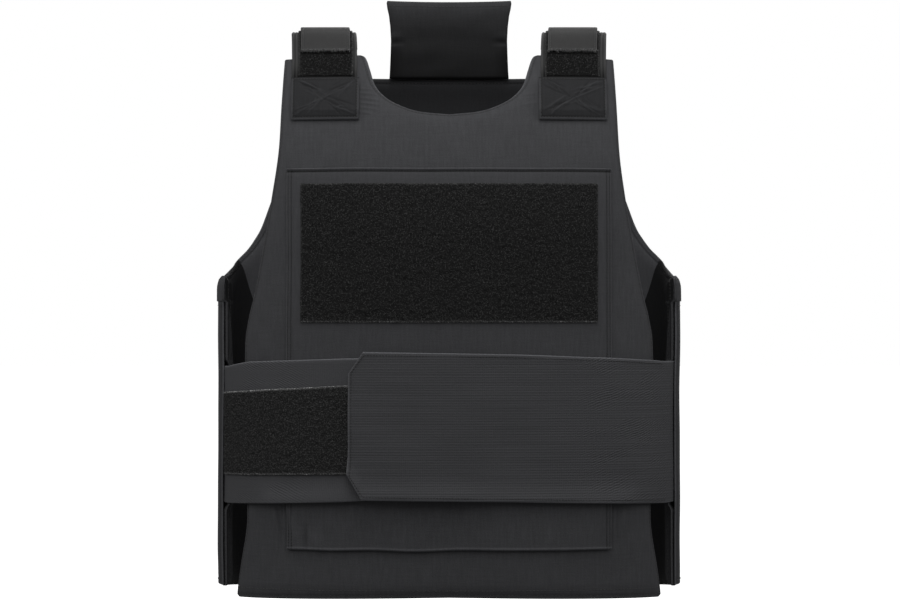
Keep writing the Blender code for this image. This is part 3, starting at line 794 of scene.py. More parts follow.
def add_stitching(name, surface, lines, finish, pitch=STITCH_PITCH):
    """One piece with the stitches of several seams; each is a line, its offset and a direction.

    An offset is a number, or a function of the place that gives it. The direction is 1 for
    stitches that stand outwards, and -1 for those on an inner face.
    """
    all_points, all_faces, first = [], [], 0
    for line, offset, outwards in lines:
        level = offset if callable(offset) else (lambda across, up, fixed=offset: fixed + 0 * across)
        starts, stops = stitch_places(surface, line, float(np.mean(level(*np.array(line).T))), pitch)
        ends = [surface(*place.T, level(*place.T)) for place in (starts, stops)]
        ups = surface_normals(surface, *starts.T, level(*starts.T)) * outwards
        points, faces = thread_arcs(*ends, ups, STITCH_HEIGHT, STITCH_DIP, THREAD_RADIUS, THREAD_SIDES)
        all_points.append(points)
        all_faces += [[corner + first for corner in face] for face in faces]
        first += len(points)
    points = np.concatenate(all_points)
    return add_piece(name, points, all_faces, np.zeros((len(points), 2)), finish)


def add_threads(name, surface, spots, level, reach, height, radius, draw, finish):
    """Small thread loops that stand on a surface, each in a random direction."""
    turn = draw.uniform(0, 2 * math.pi, len(spots))
    ends = spots + np.column_stack((np.cos(turn), np.sin(turn))) * draw.uniform(*reach, len(spots))[:, None]
    starts, stops = surface(*spots.T, level), surface(*ends.T, level)
    ups = surface_normals(surface, *spots.T, level)
    points, faces = thread_arcs(starts, stops, ups, height, LOOP_SUNK, radius, LOOP_SIDES)
    places = np.repeat(spots, len(THREAD_ARC) * LOOP_SIDES, axis=0)
    return add_piece(name, points, faces, places, finish)


def add_pile(name, surface, across, up, inner, thickness, finish, seed, border):
    """Loop pile: a rough mat with small thread loops standing on it.

    border gives the painted highlight along the bottom, the top and the sides; below 0 it is painted shade.
    """
    draw = np.random.default_rng(seed)
    shape = across.shape
    rough = draw.normal(0, 1, shape)
    rough[1:-1, 1:-1] = (rough[1:-1, 1:-1] * 2 + rough[:-2, 1:-1] + rough[1:-1, :-2]) / 2.4
    tufts = unevenness(across, up, TUFTS[0], seed) * TUFTS[1]
    inner = np.broadcast_to(inner, shape)
    from_sides = np.minimum(np.abs(across - across[:1]), np.abs(across[-1:] - across))
    reaches = (up - up[:, :1], up[:, -1:] - up, from_sides)
    painted_shading = sum(share * bell(reach, PILE_BORDER) for share, reach in zip(border, reaches))
    mat = add_sheet(name, surface, across, up, inner, thickness + PILE_ROUGHNESS * (rough + tufts),
                    finish, painted_shading=painted_shading)
    low, high = np.array((across[0, 0], up.min())), np.array((across[-1, 0], up.max()))
    count = int(LOOPS_PER_AREA * (high - low).prod())
    spots = draw.uniform(low, high, (count, 2))
    columns = across[:, 0]
    bottom, top = (np.interp(spots[:, 0], columns, up[:, row]) for row in (0, -1))
    spots = spots[(spots[:, 1] > bottom + PILE_BORDER) & (spots[:, 1] < top - PILE_BORDER)
                  & (spots[:, 0] > low[0] + PILE_BORDER) & (spots[:, 0] < high[0] - PILE_BORDER)]
    level = np.interp(spots[:, 0], columns, inner[:, shape[1] // 2])
    if inner.std(axis=1).max() > 1e-9:
        level = np.array([np.interp(place[1], up[0], inner[0]) for place in spots])
    loops = add_threads(f"{name}_loops", surface, spots, level + thickness, LOOP_REACH, LOOP_HEIGHT,
                        LOOP_RADIUS, draw, LOOP_ENDS)
    return mat, loops


def inflate(piece, held, reach):
    """Fills a padded piece by cloth simulation; held is each point's pin and reach its longest way."""
    pins = piece.vertex_groups.new(name="seams")
    for weight in np.unique(held):
        pins.add(np.flatnonzero(held == weight).tolist(), float(weight), "REPLACE")
    cloth = piece.modifiers.new("padding", "CLOTH")
    cloth.settings.quality = 4
    cloth.settings.use_pressure = True
    cloth.settings.uniform_pressure_force = PADDING_PRESSURE
    cloth.settings.effector_weights.gravity = 0
    cloth.settings.vertex_group_mass = "seams"
    cloth.collision_settings.use_collision = False
    cloth.point_cache.frame_start = 1
    cloth.point_cache.frame_end = SIMULATED_FRAMES
    for number in range(1, SIMULATED_FRAMES + 1):
        bpy.context.scene.frame_set(number)
    mesh = piece.data
    start = np.empty(len(mesh.vertices) * 3)
    mesh.vertices.foreach_get("co", start)
    filled = piece.evaluated_get(bpy.context.evaluated_depsgraph_get()).to_mesh()
    settled = np.empty_like(start)
    filled.vertices.foreach_get("co", settled)
    piece.modifiers.remove(cloth)
    way = (settled - start).reshape(-1, 3)
    length = np.linalg.norm(way, axis=1, keepdims=True)
    way *= np.minimum(1, reach[:, None] / np.maximum(length, 1e-9))
    mesh.vertices.foreach_set("co", start + way.ravel())
    mesh.update()
    bpy.context.scene.frame_set(1)


def in_zones(places, zones):
    """Which places lie in any of the zones, each given by two opposite corners."""
    inside = np.zeros(len(places), bool)
    for left, low, right, high in zones:
        inside |= ((places > (left, low)) & (places < (right, high))).all(axis=1)
    return inside


def even_grid(left, low, right, high, step):
    """Places about a step apart all over a box."""
    return np.stack(np.meshgrid(evenly(left, right, step), evenly(low, high, step)), -1).reshape(-1, 2)


def panel_places(outline, zones):
    """A panel's outline, rows of places beside it and an even grid, which is finer in the zones."""
    parts = [outline]
    for distance in EDGE_ROWS:
        row = inset_outline(outline, distance)
        parts.append(row if distance < FINE_FROM else row[~in_zones(row, zones)])
    grid = even_grid(*outline.min(axis=0), *outline.max(axis=0), PANEL_STEP)
    grid = grid[~in_zones(grid, zones)]
    parts.append(grid[outline_distance(grid, outline) > EDGE_ROWS[-1] + PANEL_STEP * 0.6])
    for zone in zones:
        fine = even_grid(*zone, FINE_STEP)
        parts.append(fine[outline_distance(fine, outline) > FINE_FROM])
    return parts


def triangulate(parts, lines):
    """Triangles inside the outline, which is the first of the parts, with edges along the lines too."""
    loop = np.arange(len(parts[0]))
    edges = np.column_stack((loop, np.roll(loop, -1))).tolist()
    first = sum(map(len, parts))
    for line in lines:
        numbers = np.arange(first, first + len(line))
        edges += np.column_stack((numbers[:-1], numbers[1:])).tolist()
        first += len(line)
    spots = [Vector(place) for place in np.concatenate([*parts, *lines])]
    spots, _, triangles, *_ = delaunay_2d_cdt(spots, edges, [], 1, 1e-7)
    flat, triangles = np.array([spot[:] for spot in spots]), np.array(triangles)
    a, b, c = (flat[triangles[:, corner]] for corner in range(3))
    turned = (b - a)[:, 0] * (c - a)[:, 1] - (b - a)[:, 1] * (c - a)[:, 0] < 0
    triangles[turned] = triangles[turned][:, ::-1]
    return flat, triangles


def add_padded_panel(name, outline, centre, finishes, faces_at, reach_at, inside_at, painted_edges,
                     zones=(), lines=()):
    """Padded panel on the torso form, sewn shut along its edge and filled by cloth simulation.

    faces_at gives the offsets of both faces from place and distance to the edge, reach_at how far
    the filling may push the outer face, and inside_at the number of the inner face's finish. Two
    shares give the painted highlight along the edges of the outer and the inner face, and painted
    shade where they are below 0. Painted shade darkens the seam along the edge. The mesh is finer
    in the zones and has edges along the lines.
    """
    flat, triangles = triangulate(panel_places(outline, zones), lines)
    distance = np.maximum(outline_distance(flat, outline), 0.0)
    rim = distance < 1e-6
    inner, outer = faces_at(flat[:, 0], flat[:, 1], distance)
    count = len(flat)
    girth = centre + flat[:, 0]
    points = np.concatenate([on_torso(girth, flat[:, 1], level) for level in (outer, inner)])
    inner_ids = np.where(rim, np.arange(count), np.arange(count) + count)
    used, faces = np.unique(np.concatenate((triangles, inner_ids[triangles][:, ::-1])), return_inverse=True)
    faces = faces.reshape(-1, 3)
    places = np.tile(np.column_stack((girth, flat[:, 1])), (2, 1))
    distances = np.tile(distance, 2)
    # painted highlight or painted shade along the edges, and painted shade in the edge seam's groove
    painted_light_and_shade = np.repeat(painted_edges, count) * bell(distances, EDGE_PAINT_REACH)
    painted_light_and_shade = painted_light_and_shade - EDGE_SEAM_SHADE * bell(distances - EDGE_SEAM, SEAM_WIDTH)
    piece = add_piece(name, points[used], faces, places[used], finishes[0], painted_light_and_shade[used])
    for finish in finishes[1:]:
        piece.data.materials.append(finish)
    middles = flat[triangles].mean(axis=1)
    kinds = np.concatenate((np.zeros(len(triangles)), inside_at(*middles.T)))
    piece.data.polygons.foreach_set("material_index", kinds.astype(np.int32))
    held = np.where(distances < EDGE_SEAM + PIN_MARGIN, 1.0, LOOSE_PIN)
    reach = np.concatenate((reach_at(flat[:, 0], flat[:, 1]), np.full(count, INNER_REACH)))
    reach = reach * np.clip((distances - EDGE_SEAM) / REACH_GROWTH, 0, 1)
    inflate(piece, held[used], reach[used])
    return piece


# Finishes

def add_node(tree, kind, inputs=(), **settings):
    """Node with its settings and with values or links at its inputs."""
    node = tree.nodes.new(kind)
    for name, value in settings.items():
        setattr(node, name, value)
    for key, value in dict(inputs).items():
        if isinstance(value, bpy.types.NodeSocket):
            tree.links.new(value, node.inputs[key])
        else:
            node.inputs[key].default_value = value
    return node


def math_node(tree, operation, first, second=0.0):
    return add_node(tree, "ShaderNodeMath", {0: first, 1: second}, operation=operation).outputs[0]


def plus(tree, first, second):
    return math_node(tree, "ADD", first, second)


def times(tree, first, second):
    return math_node(tree, "MULTIPLY", first, second)


def rise_between(tree, value, start, stop):
    """Goes from 0 to 1 as the value goes from start to stop."""
    return add_node(tree, "ShaderNodeMapRange", {0: value, 1: start, 2: stop}).outputs[0]


def noise(tree, place, scale, detail=2.0):
    """Even noise from 0 to 1 at the place, with a scale for each of its directions."""
    stretched = add_node(tree, "ShaderNodeMapping", {"Vector": place, "Scale": scale})
    return add_node(tree, "ShaderNodeTexNoise", {
        "Vector": stretched.outputs[0], "Scale": 1.0, "Detail": detail, "Roughness": 0.6,
    }).outputs["Fac"]


def wave(tree, coordinate, pitch):
    """Sine from -1 to 1 along a coordinate in metres."""
    return math_node(tree, "SINE", times(tree, coordinate, 2 * math.pi / pitch))


def spread_about_one(tree, value, amount):
    """Turns a value from 0 to 1 into a factor about 1."""
    centred = math_node(tree, "SUBTRACT", value, 0.5)
    return plus(tree, times(tree, centred, 2 * amount), 1.0)


class Finish:
    """Cloth material in the making: a shader, the place on the cloth and a product of shades."""

    def __init__(self, name, roughness, gloss):
        self.material = bpy.data.materials.new(name)
        self.material.use_nodes = True
        self.tree = self.material.node_tree
        self.shader = self.tree.nodes["Principled BSDF"]
        self.shader.inputs["Roughness"].default_value = roughness
        self.shader.inputs["Specular IOR Level"].default_value = gloss
        self.place = add_node(self.tree, "ShaderNodeUVMap", uv_map="cloth").outputs[0]
        parts = add_node(self.tree, "ShaderNodeSeparateXYZ", {0: self.place})
        self.across, self.up = parts.outputs[0], parts.outputs[1]
        self.shade = None

    def shade_by(self, factor):
        self.shade = factor if self.shade is None else times(self.tree, self.shade, factor)

    def paint_light_and_shade(self, lighter, darker):
        """Painted light where the attribute is above 0, painted shade where it is below 0."""
        painted_light_and_shade = add_node(self.tree, "ShaderNodeAttribute", attribute_name="painted_shading").outputs["Fac"]
        light = times(self.tree, math_node(self.tree, "MAXIMUM", painted_light_and_shade, 0.0), lighter)
        dark = times(self.tree, math_node(self.tree, "MINIMUM", painted_light_and_shade, 0.0), darker)
        self.shade_by(plus(self.tree, plus(self.tree, light, dark), 1.0))

    def finish(self, colour, height, depth):
        """Joins colour and relief to the shader."""
        inputs = {0: colour, "Scale": self.shade}
        tinted = add_node(self.tree, "ShaderNodeVectorMath", inputs, operation="SCALE")
        self.tree.links.new(tinted.outputs[0], self.shader.inputs["Base Color"])
        bump = add_node(self.tree, "ShaderNodeBump", {"Height": height, "Strength": 1.0, "Distance": depth})
        self.tree.links.new(bump.outputs[0], self.shader.inputs["Normal"])
        return self.material


def black(level):
    """Black nylon, with a trace of blue."""
    return level * 0.97, level * 0.98, level * 1.05


def grey(level):
    """Black thread and webbing without a tint."""
    return level, level, level


def woven_finish(name, colour, pitch, depth, grain, lighter=0.8):
    """Plain woven nylon: crossing yarns, uneven yarn thickness, and painted light and shade."""
    cloth = Finish(name, 0.78, 0.18)
    tree = cloth.tree
    yarns = times(tree, wave(tree, cloth.across, pitch), wave(tree, cloth.up, pitch))
    warp = noise(tree, cloth.place, (420.0, 50.0, 1.0), 3.0)
    weft = noise(tree, cloth.place, (50.0, 420.0, 1.0), 3.0)
    fine = noise(tree, cloth.place, (900.0, 900.0, 1.0), 2.0)
    broad = noise(tree, cloth.place, (16.0, 16.0, 1.0), 3.0)
    for value, share in ((warp, 1.0), (weft, 0.5), (fine, 1.1), (broad, 0.5)):
        cloth.shade_by(spread_about_one(tree, value, grain * share))
    cloth.shade_by(plus(tree, times(tree, yarns, 0.02), 1.0))
    cloth.paint_light_and_shade(lighter, 0.6)
    height = plus(tree, times(tree, yarns, 0.2), times(tree, fine, 0.8))
    height = plus(tree, height, plus(tree, warp, weft))
    return cloth.finish(colour, height, depth)


def elastic_finish(name, level, rib_share, ripples):
    """Woven elastic: broken lengthwise ribs, finer crossing picks and slanted tension ripples.

    The ripples lie between two girths and lean by a slope.
    """
    cloth = Finish(name, 0.72, 0.20)
    tree = cloth.tree
    ribs = wave(tree, cloth.up, RIB_PITCH)
    broken = noise(tree, cloth.place, (14.0, 260.0, 1.0), 2.0)
    streaks = noise(tree, cloth.place, (9.0, 560.0, 1.0), 2.0)
    picks = wave(tree, cloth.across, 0.0016)
    fine = noise(tree, cloth.place, (500.0, 900.0, 1.0), 2.0)
    rib_shade = times(tree, times(tree, ribs, broken), rib_share)
    cloth.shade_by(plus(tree, rib_shade, 1.0))
    cloth.shade_by(spread_about_one(tree, streaks, rib_share * 1.6 + 0.06))
    cloth.shade_by(spread_about_one(tree, fine, 0.24))
    cloth.shade_by(spread_about_one(tree, noise(tree, cloth.place, (12.0, 30.0, 1.0), 3.0), 0.08))
    start, stop, slope = ripples
    bent = times(tree, noise(tree, cloth.place, (22.0, 22.0, 1.0), 2.0), 3.5 * RIPPLE_PITCH)
    slanted = plus(tree, times(tree, cloth.across, slope), cloth.up)
    slanted = wave(tree, plus(tree, slanted, bent), RIPPLE_PITCH)
    opening = rise_between(tree, cloth.across, start, start + 0.03)
    closing = rise_between(tree, cloth.across, stop, stop - 0.03)
    patches = noise(tree, cloth.place, (26.0, 60.0, 1.0), 2.0)
    patches = rise_between(tree, patches, 0.40, 0.60)
    strength = times(tree, times(tree, opening, closing), patches)
    ripple = times(tree, slanted, strength)
    # the ripples also lighten and darken the colour: painted light and shade of their relief
    cloth.shade_by(plus(tree, times(tree, ripple, 0.13), 1.0))
    cloth.paint_light_and_shade(0.9, 0.6)
    height = plus(tree, times(tree, ribs, rib_share * 3), times(tree, picks, 0.35))
    height = plus(tree, height, plus(tree, fine, streaks))
    height = plus(tree, height, times(tree, ripple, 1.2))
    return cloth.finish(black(level), height, 0.00012)


def pile_finish(name, level, speckle):
    """Loop or hook pile: a dark mat with lighter thread ends."""
    cloth = Finish(name, 0.85, 0.05)
    tree = cloth.tree
    fine = noise(tree, cloth.place, (800.0, 800.0, 1.0), 3.0)
    clumps = noise(tree, cloth.place, (230.0, 260.0, 1.0), 3.0)
    ends = rise_between(tree, fine, 0.52, 0.68)
    cloth.shade_by(plus(tree, times(tree, ends, speckle), 0.65))
    cloth.shade_by(spread_about_one(tree, clumps, 0.4))
    cloth.paint_light_and_shade(0.9, 0.5)
    return cloth.finish(grey(level), plus(tree, fine, clumps), 0.0006)


def thread_finish(name, level, variation):
    """Polyester thread; the variation is from one thread to the next."""
    cloth = Finish(name, 0.55, 0.25)
    fibres = noise(cloth.tree, cloth.place, (300.0, 300.0, 1.0), 2.0)
    cloth.shade_by(spread_about_one(cloth.tree, fibres, variation))
    return cloth.finish(grey(level), fibres, 0.00005)


SHELL = woven_finish("black woven nylon", black(0.046), 0.0012, 0.00012, 0.24)
LINING = woven_finish("dark lining cloth", black(0.034), 0.0010, 0.00010, 0.16)
# copies of the lining: a lighter one with painted light for the sides seen through the armholes, a nearly
# black one with painted shade for the wings
LIT_SIDE_LINING = woven_finish("side lining with painted light", black(0.095), 0.0010, 0.00010, 0.16)
SHADED_WING_LINING = woven_finish("wing lining with painted shade", black(0.012), 0.0010, 0.00008, 0.12)
GUARD_CLOTH = woven_finish("neck guard cloth", black(0.0140), 0.0011, 0.00012, 0.26)
ANCHOR_CLOTH = woven_finish("anchor patch cloth", black(0.0190), 0.0010, 0.00012, 0.26, 1.5)
STRAP = woven_finish("black strap webbing", grey(0.0325), 0.0010, 0.00010, 0.14)
RIBBED_ELASTIC = elastic_finish("black ribbed elastic", 0.0485, 0.14, LEFT_RIPPLES)
PLAIN_ELASTIC = elastic_finish("black plain elastic", 0.051, 0.02, RIGHT_RIPPLES)
PILE = pile_finish("black loop pile", 0.0155, 2.6)
# lighter copy of the loop pile: painted light on the waist band's loop field
LIT_WAIST_PILE = pile_finish("waist loop pile with painted light", 0.0225, 2.6)
STRAP_PILE = pile_finish("black strap loop pile", 0.0085, 2.6)
HOOKS = pile_finish("black hook tape", 0.016, 2.0)
LOOP_ENDS = thread_finish("pile thread", 0.060, 0.9)
THREAD = thread_finish("black thread", 0.052, 0.2)
# darker copy of the black thread: painted shade of the grooves the stitches lie in
SHADED_THREAD = thread_finish("black thread with painted shade", 0.018, 0.2)
# lighter copy of the black thread
LIGHTER_THREAD = thread_finish("lighter thread", 0.085, 0.5)
FRAYED_THREAD = thread_finish("frayed thread", 0.150, 0.9)


# Pieces

def grid_between(columns, bottom, top, row_step, edge):
    """Grid places between two edges, each given for every column."""
    height = float(np.mean(top - bottom))
    shares = edged(0.0, 1.0, row_step / height, edge / height)
    across = np.repeat(columns[:, None], len(shares), axis=1)
    return across, bottom[:, None] + (top - bottom)[:, None] * shares[None, :]


def declare_sheet(piece):
    tuple(piece["flat"])


def panel_edge(distance):
    return table_value(EDGE_FORM, distance)


def closed(line):
    return np.concatenate((line, line[:1]))


def make_front_panel():
    """Padded front, with the seam all round its edge and a second one along the hem."""
    folds = folds_on_torso(FRONT_FOLDS, FRONT_THICKNESS)
    half = FRONT_THICKNESS / 2
    hem_rise = FRONT_HEM + HEM_SEAM - CHEST_LINE

    def faces_at(girth, rise, distance):
        share = panel_edge(distance)
        seam = -HEM_SEAM_DEPTH * bell(rise - hem_rise, SEAM_WIDTH)
        settled = np.clip((distance - SETTLED_FROM) / SETTLED_SPAN, 0, 1)
        relief = settled * (fold_relief(girth, rise, folds) + seam)
        return half - half * share, half + half * share + relief

    def reach_at(girth, rise):
        pocket = centre_girth(POCKET_HALF_WIDTH, FRONT_THICKNESS) + 0.004
        covered = (np.abs(girth) < pocket) & (rise < POCKET_TOP - CHEST_LINE + 0.006)
        covered |= rise > rise_at(-0.088, 0.0)
        return np.where(covered, COVERED_REACH, FRONT_REACH)

    outline = front_outline()
    zones = []
    for left, low, right, high in FRONT_FINE_ZONES:
        zones.append((
            centre_girth(left, FRONT_THICKNESS), rise_at(low, FRONT_THICKNESS),
            centre_girth(right, FRONT_THICKNESS), rise_at(high, FRONT_THICKNESS),
        ))
    panel = add_padded_panel("front_panel_shell", outline, 0.0, (SHELL, LINING), faces_at,
                             reach_at, lambda girth, rise: np.ones(len(girth)), FRONT_PAINTED_EDGES, zones)
    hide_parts("front_panel")
    seam = closed(inset_outline(outline, EDGE_SEAM))
    level = half * (1 + panel_edge(EDGE_SEAM))
    reach = float(outline[outline[:, 1] < -0.32][:, 0].max()) - 0.004
    hem = [(girth, hem_rise) for girth in evenly(-reach, reach, SEAM_STEP)]
    add_stitching("front_panel_stitching", on_torso, [
        (seam, level, 1), (seam, FRONT_THICKNESS - level, -1), (hem, FRONT_THICKNESS * 0.93, 1),
    ], THREAD)


def make_back_panel():
    """Padded back with wings, fuller above the cover and along the wings' front edges."""
    mouth = BACK_CENTRE - side_girth(WING_FRONT, BACK_THICKNESS)
    wing_edge = BACK_CENTRE - side_girth(WING_FRONT, RIM_OFFSET)
    fades = [BACK_CENTRE - side_girth(depth, BACK_THICKNESS) for depth in WING_FADE]
    band = (UNDER_BAND_EDGES[0][1] - CHEST_LINE - 0.002, UNDER_BAND_EDGES[0][2] - CHEST_LINE + 0.002)

    def fullness(girth, rise):
        above_step = np.interp(rise, [z - CHEST_LINE for z in WING_STEP], (0.0, 1.0))
        wing = WING_FULLNESS * np.interp(np.abs(girth), fades, (0.0, 1.0)) * above_step
        wing = wing * table_value(WING_CROWN, CHEST_LINE + rise)
        near_edge = np.interp(mouth - np.abs(girth), WING_EDGE_REACH[::-1], (1.0, 0.0))
        outside_band = np.clip(np.maximum(band[0] - rise, rise - band[1]) / 0.004, 0, 1)
        return wing + WING_EDGE_FULLNESS * near_edge * outside_band * (1 - above_step)

    def faces_at(girth, rise, distance):
        on_wing = np.interp(mouth - np.abs(girth), WING_RIM_REACH[::-1], (1.0, 0.0))
        thickness = BACK_THICKNESS + fullness(girth, rise)
        rim = thickness * (0.5 + (WING_RIM_SHARE - 0.5) * on_wing)
        outwards = panel_edge(distance)
        pinched = 1 - np.exp(-distance / WING_PINCH)
        inwards = outwards + (pinched - outwards) * on_wing
        return rim * (1 - inwards), rim + (thickness - rim) * outwards

    def reach_at(girth, rise):
        covered = (rise < WING_STEP[0] - CHEST_LINE + 0.004) | (rise > rise_at(-0.095, 0.0))
        return np.where(covered, COVERED_REACH, BACK_REACH)

    wing_shade_ends = [(BACK_CENTRE - side_girth(depth, 0.0), z - CHEST_LINE) for z, depth in WING_SHADE_LINE]
    slope = (wing_shade_ends[1][0] - wing_shade_ends[0][0]) / (wing_shade_ends[1][1] - wing_shade_ends[0][1])

    def wing_shade_line(rise):
        slanted = wing_shade_ends[0][0] + (rise - wing_shade_ends[0][1]) * slope
        return np.maximum(slanted, centre_girth(WING_SHADE_LEAST, 0.0))

    def binding_seam(rise):
        return wing_edge - table_value(WING_BINDING, CHEST_LINE + rise)

    def side_light_line(rise):
        return centre_girth(BACK_LINING_HALF, 0.0) + 0 * rise

    # inner face: shell cloth at the binding, painted shade on the wings, painted light on the sides, plain
    # lining in the middle
    def inside_at(girth, rise):
        reach = np.abs(girth)
        kind = np.where(reach > side_light_line(rise), 3, 1)
        kind = np.where(reach > wing_shade_line(rise), 2, kind)
        return np.where(reach > binding_seam(rise), 0, kind)

    def step_line(z):
        reaches = evenly(fades[0], wing_edge, PANEL_STEP)
        return np.column_stack((reaches, np.full(len(reaches), z - CHEST_LINE)))

    outline = back_outline()
    rises = evenly(outline[:, 1].min(), outline[:, 1].max(), PANEL_STEP)
    seams = [np.column_stack((seam(rises), rises)) for seam in (wing_shade_line, binding_seam, side_light_line)]
    lines = []
    for line in [*seams, *map(step_line, (*WING_STEP, WING_STEP[1] + 0.001))]:
        line = line[outline_distance(line, outline) > 0.0008]
        lines += [line, line * (-1, 1)]
    panel = add_padded_panel("back_panel_shell", outline, BACK_CENTRE,
                             (SHELL, LINING, SHADED_WING_LINING, LIT_SIDE_LINING), faces_at, reach_at, inside_at,
                             BACK_PAINTED_EDGES, lines=lines)
    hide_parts("back_panel")
    seam = closed(inset_outline(outline, EDGE_SEAM)) + np.array((BACK_CENTRE, 0.0))

    def seam_levels(girth, rise):
        return faces_at(girth - BACK_CENTRE, rise, np.full(np.shape(girth), EDGE_SEAM))

    add_stitching("back_panel_stitching", on_torso, [
        (seam, lambda girth, rise: seam_levels(girth, rise)[1], 1),
        (seam, lambda girth, rise: seam_levels(girth, rise)[0], -1),
    ], THREAD)


def make_pocket():
    """Flat pouch: a folded lip on top, double stitching down both sides and a slack hem."""
    inner = FRONT_THICKNESS + FACET_GAP
    outer = inner + POCKET_THICKNESS
    reach = centre_girth(POCKET_HALF_WIDTH, outer)
    columns = edged(-reach, reach, POCKET_STEP, POCKET_THICKNESS / 2)
    close = np.concatenate([side * (reach - np.array(POCKET_SEAMS)) for side in (-1, 1)])
    columns = np.unique(np.round(np.concatenate((columns, close, close + 0.0008, close - 0.0008)), 5))
    wave_at = unevenness(columns, 0 * columns, 0.055, 5) * POCKET_HEM_WAVE
    bottom = rise_at(POCKET_BOTTOM, outer) + wave_at * np.clip((reach - np.abs(columns)) / 0.02, 0, 1)
    top = np.full(len(columns), rise_at(POCKET_TOP, outer))
    across, up = grid_between(columns, bottom, top, POCKET_STEP, POCKET_THICKNESS / 2)
    lip = np.array(POCKET_FINE_ROWS)
    extra = top[:, None] - lip[None, ::-1]
    up = np.sort(np.concatenate((up, extra, bottom[:, None] + lip[None, :] + 0.0014), axis=1), axis=1)
    across = np.repeat(columns[:, None], up.shape[1], axis=1)
    below_top = top[:, None] - up
    above_hem = up - bottom[:, None]
    relief = POCKET_LIP_HEIGHT * bell(below_top - POCKET_LIP[0], 0.0010)
    groove = bell(below_top - POCKET_LIP[1], 0.0008)
    hem_roll = bell(above_hem - POCKET_HEM_ROLL, 0.0009)
    side_seams = sum(bell(reach - np.abs(across) - seam, SEAM_WIDTH) for seam in POCKET_SEAMS)
    creased = fold_relief(across, up, folds_on_torso(POCKET_FOLDS, outer))
    relief += creased
    relief += POCKET_HEM_HEIGHT * hem_roll - POCKET_LIP_DEPTH * groove - POCKET_SEAM_DEPTH * side_seams
    relief = np.maximum(relief, -POCKET_DEEPEST)
    # painted light on the hem roll, painted shade in the lip's groove and the side seams, painted light and
    # shade on the folds
    painted_shading = 0.6 * hem_roll - 1.3 * groove - 0.5 * side_seams + FOLD_PAINTED_SHADING * creased
    pocket = add_sheet("chest_pocket_cloth", on_torso, across, up, inner, POCKET_THICKNESS,
                       SHELL, relief, painted_shading)
    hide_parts("chest_pocket")
    ends = rise_at(POCKET_BOTTOM, outer) + 0.003, float(top[0]) - 0.006
    rows = [[(side * (reach - seam), rise) for rise in evenly(*ends, SEAM_STEP)]
            for side in (-1, 1) for seam in POCKET_SEAMS]
    lip_girths = evenly(-reach + 0.006, reach - 0.006, SEAM_STEP)
    rows.append([(girth, float(top[0]) - POCKET_LIP[1]) for girth in lip_girths])
    offsets = [outer - 0.0003] * 4 + [outer - 0.0004]
    stitching = add_stitching("chest_pocket_stitching", on_torso, [
        (row, offset, 1) for row, offset in zip(rows, offsets)
    ], SHADED_THREAD, FINE_PITCH)
    declare_sheet(pocket)


def make_chest_loop_field():
    """Loop field on the pouch, stitched all round."""
    half_width, low, high = LOOP_FIELD
    inner = FRONT_THICKNESS + FACET_GAP + POCKET_THICKNESS
    reach = centre_girth(half_width, inner)
    columns = edged(-reach, reach, PILE_STEP, LOOP_THICKNESS / 2)
    bottom, top = (np.full(len(columns), rise_at(z, inner)) for z in (low, high))
    across, up = grid_between(columns, bottom, top, PILE_STEP, LOOP_THICKNESS / 2)
    mat, loops = add_pile("chest_loop_mat", on_torso, across, up, inner + GAP / 2, LOOP_THICKNESS, PILE, 21,
                          (5.0, 1.5, 0.5))
    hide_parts("chest_loop_field")
    edge = CHEST_LOOP_SEAM
    corners = [(-reach + edge, bottom[0] + edge), (reach - edge, bottom[0] + edge),
               (reach - edge, top[0] - edge), (-reach + edge, top[0] - edge)]
    lines = []
    for start, stop in zip(corners, corners[1:] + corners[:1]):
        line = [tuple(point) for point in straight_line(start, stop, SEAM_STEP)]
        lines.append((line, inner + LOOP_THICKNESS + 0.0001, 1))
    stitching = add_stitching("chest_loop_stitching", on_torso, lines, SHADED_THREAD)
    declare_sheet(mat)


def band_offset(girth, lapped_until, relaxed_from, lapped):
    """A band's inner offset: in the slot, on the front, and where it laps over the other band."""
    slot = BACK_THICKNESS + FACET_GAP
    front = FRONT_THICKNESS + FACET_GAP + POCKET_THICKNESS + GAP
    mouth = side_girth(WING_FRONT, BACK_THICKNESS)
    reach = centre_girth(FRONT_PANEL_REACH, front)
    lap = np.interp(girth, (lapped_until, relaxed_from), (lapped, 0.0))
    return np.interp(np.abs(girth), (reach, mouth), (front, slot)) + lap


def band_rises(table, columns, offset):
    """Rises of a band's bottom and top at these girths."""
    girths = [centre_girth(row[0], offset) for row in table]
    return [np.interp(columns, girths, [row[side] for row in table]) - CHEST_LINE for side in (1, 2)]


def make_band(name, columns, edges, inner, seed, finish):
    """Slack elastic band between two girths; its lower edge stands off the cloth."""
    bottom, top = edges
    across, up = grid_between(columns, bottom, top, BAND_ROW, BAND_THICKNESS / 2)
    rim = rim_distance(across, up)
    slack = unevenness(across, up, 0.06, seed) * BAND_SLACK
    lift = BAND_LIFT * bell(up - bottom[:, None], BAND_LIFT_REACH)
    free_x, free_offset, free_span = BAND_FREE
    on_front = np.clip((centre_girth(free_x, free_offset) - np.abs(across)) / free_span, 0, 1)
    relief = (slack + lift + BAND_SLACK) * on_front
    # the last argument gives a painted highlight along the band's edges
    return add_sheet(name, on_torso, across, up, inner[:, None], BAND_THICKNESS, finish,
                     relief, BAND_EDGE_HIGHLIGHT * bell(rim, SEAM_WIDTH))


